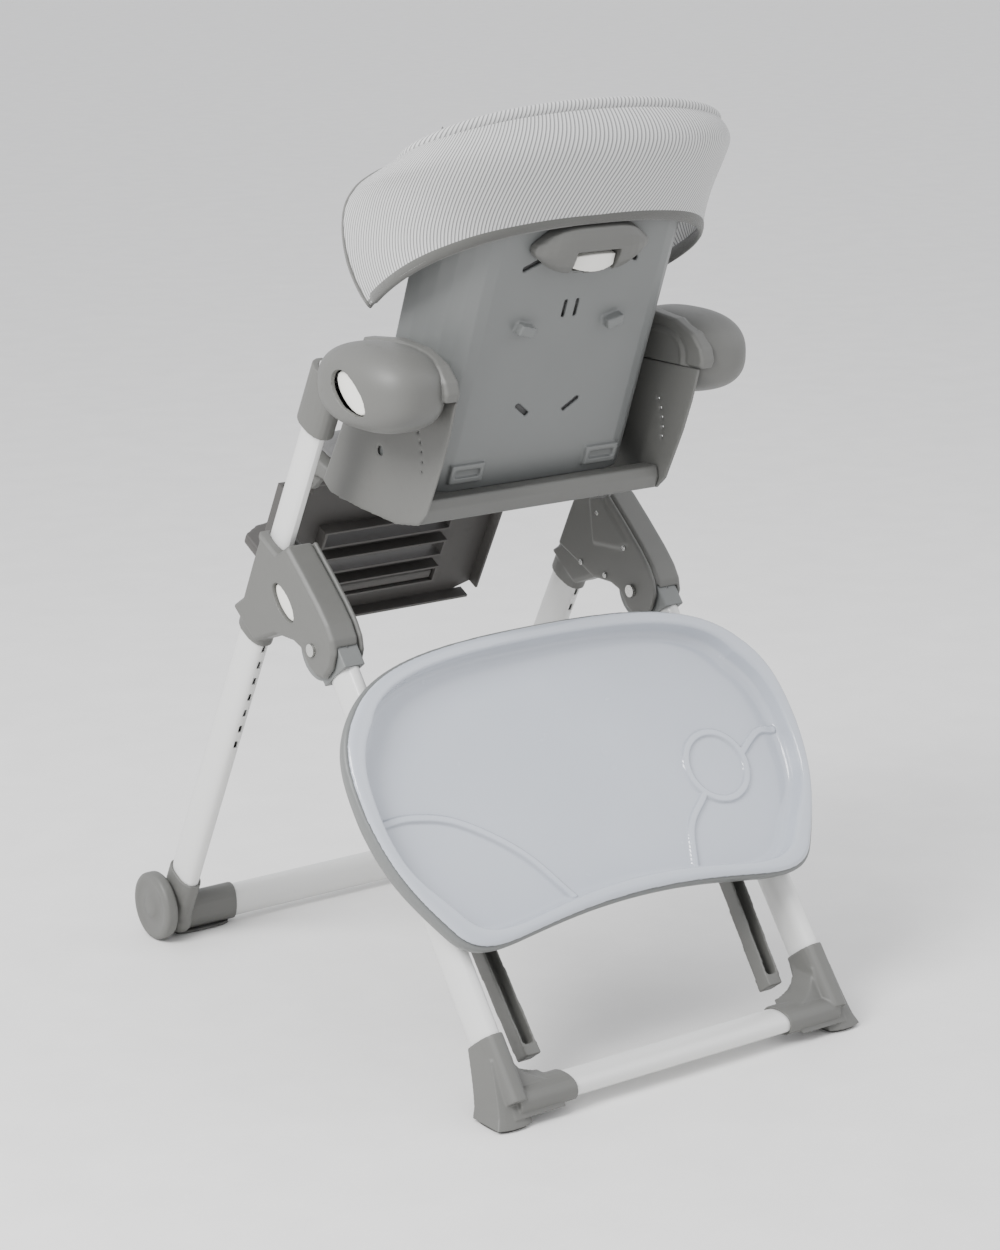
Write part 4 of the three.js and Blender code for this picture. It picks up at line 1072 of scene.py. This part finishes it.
@dataclass
class Hood(Maker):
    """The striped cloth hood round the head of the backrest, with its rolled top and bound edge."""

    low_half: float = 204
    top_half: float = 234
    turn: float = 112
    low: float = 342
    top: float = 450
    proud: float = 17
    curl: float = 46
    front_low: float = 180
    front_top: float = 344
    depth: float = 134
    bulge: float = 55
    cloth: float = 0.0026
    roll: float = 8.5
    corner: float = 0.1
    tuck: float = 20
    columns: int = 220
    rows: int = 70

    def build(self) -> None:
        """Makes the cloth, then its roll and its binding."""
        flat = (self.run([self.share(i / 60, 0.5) for i in range(61)]),
                self.run([self.share(0.5, i / 20) for i in range(21)]))
        cover = grid("hood_cloth", self.share, self.columns, self.rows, flat)
        thick = cover.modifiers.new("cloth", "SOLIDIFY")
        thick.thickness, thick.offset = self.cloth, 0
        settled_mesh(cover)
        self.settle(cover, "backrest", Look.TWILL, "striped_fabric", "hood")
        roll = self.edge("hood_roll", 1.0, self.roll, 16)
        self.settle(roll, "backrest", Look.TWILL, "striped_fabric")
        binding = self.edge("hood_binding", 0.012, 3.6, 10, 2.2)
        self.settle(binding, "backrest", Look.BINDING, "webbing")
        ends = [self.end(side) for side in Side]

    def run(self, line: Sequence[Vector]) -> float:
        """The length of a line of points."""
        return sum((b - a).length for a, b in zip(line, line[1:]))

    def point(self, way: float, high: float, inward: float = 2) -> Vector:
        """A point on the hood.

        Args:
            way: From -1, its front edge on the right, to 1 on the left.
            high: From 0 at its lower edge to 1 at the top.
            inward: Millimetres in from its outer face.

        Returns:
            The point, in metres.
        """
        far = abs(way)
        turn = math.radians(self.turn * far)
        half = self.low_half + (self.top_half - self.low_half) * high - inward
        half -= self.tuck * max(0.0, high - 0.78) ** 2 / 0.0484
        low = self.low - (self.low - self.front_low) * far ** 2.3
        top = self.top - (self.top - self.front_top) * far ** 2.2
        front = self.depth + self.bulge * max(0.0, math.sin(math.pi * high)) ** 0.7
        curl = self.curl * high ** 7 * (1 - far ** 2)
        out = -self.proud + front * far ** 2.4 + curl + inward * math.cos(turn)
        return BACK.point(math.copysign(half * math.sin(turn), way), low + (top - low) * high, out)

    def reach(self, high: float) -> float:
        """How far round the cloth goes at a height, with its corners rounded off."""
        return 1 - self.corner * max(0, high - 0.62) ** 2 / 0.145 - 0.03 * max(0, 0.3 - high) ** 2 / 0.09

    def share(self, u: float, v: float) -> Vector:
        """A point of the cloth, with the faint waves of stretched fabric."""
        wave = 0.7 * math.sin(u * 21 + v * 4) + 0.5 * math.sin(u * 47 - v * 9)
        return self.point((2 * u - 1) * self.reach(v), v, 2.6 + wave * math.sin(math.pi * v) * 0.8)

    def edge(self, name: str, high: float, radius: float, count: int, flatten: float = 1) -> bpy.types.Object:
        """Makes a stuffed cord of cloth along the hood at one height.

        Args:
            name: Its name.
            high: The height, from 0 to 1.
            radius: Its half thickness, in millimetres.
            count: How many points go round it.
            flatten: How much taller than thick it is.

        Returns:
            The new piece.
        """
        ways = [(i / 90 - 1) * self.reach(high) for i in range(181)]
        line = [self.point(way, high, radius + 0.5) for way in ways]
        rings, flat = [], []
        run = 0.0
        for i, spot in enumerate(line):
            ahead = (line[min(i + 1, 180)] - line[max(i - 1, 0)]).normalized()
            up = (self.point(ways[i], min(1, high + 0.05)) - self.point(ways[i], high - 0.05)).normalized()
            out = ahead.cross(up).normalized()
            size = radius / 1000 * (1 if 3 < i < 177 else 0.8)
            turns = [2 * math.pi * k / count for k in range(count)]
            rings.append([spot + size * (math.cos(a) * out + flatten * math.sin(a) * up) for a in turns])
            flat += [(run, -a * size, 0) for a in turns]
            run += (line[min(i + 1, 180)] - spot).length
        piece = loft(name, rings)
        mark_cloth(piece, flat)
        return piece

    def end(self, side: Side) -> bpy.types.Object:
        """Makes the binding down one front edge of the hood.

        Args:
            side: Which edge.

        Returns:
            The binding.
        """
        line = [self.point(side.value * 0.995 * self.reach(i / 40), i / 40, 2.6) for i in range(41)]
        across = self.point(side.value, 0.5) - self.point(side.value * 0.97, 0.5)
        piece = strip(f"hood_front_binding{side.tail}", line, lambda share: across, 0.011, 0.0052)
        return self.settle(piece, "backrest", Look.BINDING, "webbing")


@dataclass
class LegRest(Maker):
    """The hinged calf rest, its cushion and the footrest that pulls out of it."""

    def build(self) -> None:
        """Makes the calf rest."""
        self.dress(Look.DARK, "calf_rest")
        self.moulded("footrest", "footrest", Look.DARK, "dark_plastic", 0.0022, 4)
        Cushion("calf_cushion", "calf_rest", Look.PAD, 0.004, front=(0, -0.891, 0.454)).build()


@dataclass
class Tray(Maker):
    """The tray, stored on the rear legs, with its lift-out liner, arms and release."""

    half: float = 312
    top: float = -431
    bottom: float = -72
    dip: float = 20
    steps: int = 40
    ribs: tuple[tuple[tuple[float, float], ...], ...] = (
        ((286, -241), (240, -242), (184, -225), (120, -176), (76, -114)),
        ((-285, -250), (-262, -252), (-228, -231)),
        ((-150, -190), (-118, -160), (-100, -112)))
    cup: Triple = (-186, -223, 42)
    rib_half: float = 3.2
    rib_rise: float = 3.4
    relief: np.ndarray = field(init=False)

    def build(self) -> None:
        """Makes the tray body, then what it carries."""
        body = self.lofted("tray_body", ((30, 27), (14, 27.4), (7, 30), (3, 37), (0.6, 46), (0, 52),
                                         (1, 55), (4, 56), (11, 56), (13, 54.5), (13, 33), (13.2, 32)))
        even_mesh(body, 0.0022, 3)
        self.settle(body, "tray", Look.PALE, "pale_plastic", "tray")
        liner = self.lofted("liner_skin", ((23, 30.2), (17, 38), (16, 55.35), (3.4, 56.4), (3, 57.4),
                                           (3.4, 58.8), (6, 61), (10, 62), (15, 62.3), (18, 62), (19.4, 60),
                                           (20, 50), (20.6, 42), (23, 37.4), (28, 35)))
        even_mesh(liner, 0.0016, 2)
        reshape(liner, self.ribbed)
        # The relief also drives the liner's painted highlights on the rib tops and painted shade on their
        # slopes.
        liner.data.attributes.new("relief", "FLOAT", "POINT").data.foreach_set("value", self.relief)
        self.settle(liner, "tray_liner", Look.LINER, "clear_plastic", "tray_liner")
        self.dress(Look.IVORY, "tray_release")
        for side in Side:
            self.moulded(f"tray_arm{side.tail}", "tray", Look.GREY, "grey_plastic", 0.0018, 5)

    def outline(self, inset: float) -> list[tuple[float, float]]:
        """The tray's outline.

        Args:
            inset: How far in from its outer edge, in millimetres.

        Returns:
            Places across and along the tray.
        """
        w, a, b = self.half - inset, self.top + inset, self.bottom - inset
        legs = [((0, a), (150, a), (232, a + 12), (w - 34, a + 62)),
                ((w - 34, a + 62), (w - 2, a + 96), (w, a + 130), (w - 1, a + 178)),
                ((w - 1, a + 178), (w - 6, a + 245), (w - 26, b - 70), (w - 56, b - 24)),
                ((w - 56, b - 24), (w - 74, b + 2), (w - 104, b), (w - 136, b - 4)),
                ((w - 136, b - 4), (w - 190, b - 12), (70, b - self.dip), (0, b - self.dip))]
        line = []
        for p, q, r, s in legs:
            for step in range(self.steps):
                t = step / self.steps
                weights = ((1 - t) ** 3, 3 * t * (1 - t) ** 2, 3 * t * t * (1 - t), t ** 3)
                line.append(tuple(sum(k * c[i] for k, c in zip(weights, (p, q, r, s))) for i in (0, 1)))
        return [*line, (0, b - self.dip), *((-x, t) for x, t in reversed(line[1:]))]

    def lofted(self, name: str, rings: Sequence[tuple[float, float]]) -> bpy.types.Object:
        """Skins a closed piece over the tray's outline at several insets and heights."""
        return loft(name, [[self.place(x, t, n) for x, t in self.outline(inset)] for inset, n in rings])

    def place(self, x: float, along: float, out: float) -> Vector:
        """A point on the stored tray, in metres."""
        return STORED_TRAY.point(x, -along, -out)

    def ribbed(self, points: np.ndarray) -> np.ndarray:
        """Raises the ribs and the cup ring on the liner's floor.

        Args:
            points: The liner's points, in millimetres.

        Returns:
            The moved points.
        """
        along, out = STORED_TRAY.flat(points)
        along, out = -along, -out
        rise = np.zeros(len(points))
        for rib in self.ribs:
            line = curve_through([(x, t, 0) for x, t in rib], 8)
            for a, b in zip(line, line[1:]):
                rise = np.maximum(rise, self.ridge(np.hypot(*self.off(points[:, 0], along, a, b))))
        far = np.hypot(points[:, 0] - self.cup[0], along - self.cup[1])
        rise = np.maximum(rise, self.ridge(np.abs(far - self.cup[2])))
        on_floor = np.clip((39 - out) / 2, 0, 1) * np.clip((out - 33.6) / 1.0, 0, 1)
        self.relief = (rise * on_floor) / self.rib_rise
        lean = math.radians(STORED_TRAY.angle)
        normal = np.array((0, math.cos(lean), -math.sin(lean)))
        return points + (rise * on_floor)[:, None] * normal

    def off(self, x: np.ndarray, along: np.ndarray, a: Vector, b: Vector) -> tuple[np.ndarray, np.ndarray]:
        """Measures places against a short line.

        Args:
            x, along: The places, across and along the tray.
            a, b: The line's ends.

        Returns:
            How far each place lies from the line, both ways.
        """
        way = b - a
        share = np.clip(((x - a.x) * way.x + (along - a.y) * way.y) / way.length_squared, 0, 1)
        return x - a.x - share * way.x, along - a.y - share * way.y

    def ridge(self, far: np.ndarray) -> np.ndarray:
        """The rise at a distance from a rib's middle: flat on top, with sloping sides."""
        share = np.clip(1 - (far - self.rib_half) / 2.6, 0, 1)
        return self.rib_rise * share * share * (3 - 2 * share)


@dataclass
class Harness(Maker):
    """The five-point harness: webbing, and the buckle with its button."""

    width: float = 0.025
    thick: float = 0.002

    def build(self) -> None:
        """Makes every strap."""
        for side in Side:
            s = side.value
            top = [BACK.point(s * x, h, d)
                   for x, h, d in ((58, 240, 32), (50, 190, 36), (40, 130, 46), (30, 80, 62))]
            line = curve_through([*top, Vector((s * 0.020, -0.032, 0.672))])
            shoulder = self.strap(f"shoulder_webbing{side.tail}", line, lambda share: Vector((1, 0, 0)))
            self.paint(shoulder, Look.WEBBING)
            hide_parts(f"shoulder_strap{side.tail}")
            tuple(top[2])
            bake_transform(shoulder)
            line = curve_through([(s * 0.128, -0.022, 0.662), (s * 0.090, -0.034, 0.664),
                                  (s * 0.046, -0.067, 0.662), (s * 0.026, -0.066, 0.660)])
            waist = self.strap(f"waist_webbing{side.tail}", line, lambda share: Vector((0, 0.5, 0.87)))
            self.settle(waist, "seat", Look.WEBBING, "webbing", f"waist_strap{side.tail}")
        line = curve_through([(0, -0.131, 0.667), (0, -0.111, 0.6625), (0, -0.087, 0.660)])
        crotch = self.strap("crotch_webbing", line, lambda share: Vector((1, 0, 0)))
        self.settle(crotch, "seat", Look.WEBBING, "webbing", "crotch_strap")
        self.moulded("buckle", "seat", Look.DARK, "dark_plastic", 0.0007, 5)
        self.moulded("buckle_button", "buckle_button", Look.IVORY, "ivory_plastic", 0.0005, 4)

    def strap(self, name: str, line: Sequence[Vector], across: Callable[[float], Vector]) -> bpy.types.Object:
        """Args:
            name: Its name.
            line: The points that it follows.
            across: The direction of its width, for a share of its length.

        Returns:
            The webbing.
        """
        piece = strip(name, line, across, self.width, self.thick)
        run = sum((b - a).length for a, b in zip(line, line[1:]))
        return piece


@dataclass
class Studio:
    """The floor, the lights and the camera."""

    eye: Triple = (2.04810, 2.83264, 1.37281)
    round_turn: float = 143.82
    above: float = 14.93
    lens: float = 88.47

    def build(self) -> None:
        """Sets up the studio."""
        self.floor()
        self.world()
        self.lamp("key", (3.0, 0.6, 3.2), 1.8, 230)
        self.lamp("fill", (-2.6, 1.4, 2.2), 3.0, 25)
        data = bpy.data.cameras.new("camera")
        data.lens, data.sensor_width = self.lens, 36
        camera = bpy.data.objects.new("camera", data)
        camera.location = self.eye
        camera.rotation_euler = self.look().to_euler()
        bpy.context.collection.objects.link(camera)
        bpy.context.scene.camera = camera

    def look(self) -> Matrix:
        """The camera's turn.

        Returns:
            Its rotation, from how far round the chair it stands and how high it looks down from.
        """
        turn, above = math.radians(self.round_turn), math.radians(self.above)
        back = Vector((math.sin(turn) * math.cos(above), -math.cos(turn) * math.cos(above), math.sin(above)))
        return back.to_track_quat("Z", "Y").to_matrix()

    def floor(self) -> None:
        """Lays a pale floor."""
        size = 30
        floor = mesh_object("floor", [(-size, -size, 0), (size, -size, 0), (size, size, 0), (-size, size, 0)],
                            [(0, 1, 2, 3)])
        floor.data.materials.append(MouldedPlastic("floor_paint", srgb(236, 235, 233), 0.6).material())

    def world(self) -> None:
        """Fills the room with soft white light."""
        world = bpy.data.worlds.new("studio")
        world.use_nodes = True
        world.node_tree.nodes["Background"].inputs["Color"].default_value = (0.96, 0.97, 1, 1)
        world.node_tree.nodes["Background"].inputs["Strength"].default_value = 1.2
        bpy.context.scene.world = world

    def lamp(self, name: str, place: Triple, size: float, power: float) -> None:
        """Hangs a square soft lamp that looks at the seat.

        Args:
            name: Its name.
            place: Where it hangs.
            size: The length of its side.
            power: In watts.
        """
        data = bpy.data.lights.new(name, "AREA")
        data.energy, data.size = power, size
        lamp = bpy.data.objects.new(name, data)
        lamp.location = place
        lamp.rotation_euler = (Vector(place) - Vector((0, 0, 0.5))).to_track_quat("Z", "Y").to_euler()
        bpy.context.collection.objects.link(lamp)


def main() -> None:
    """Builds the chair and its studio."""
    logging.basicConfig(level=logging.INFO, format="%(message)s")
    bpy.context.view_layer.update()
    for part in (LegFrame(), SeatUnit(), Backrest(), Hood(), LegRest(), Tray(), Harness(), Studio()):
        LOG.info("building %s", type(part).__name__)
        part.build()


if __name__ == "__main__":
    main()
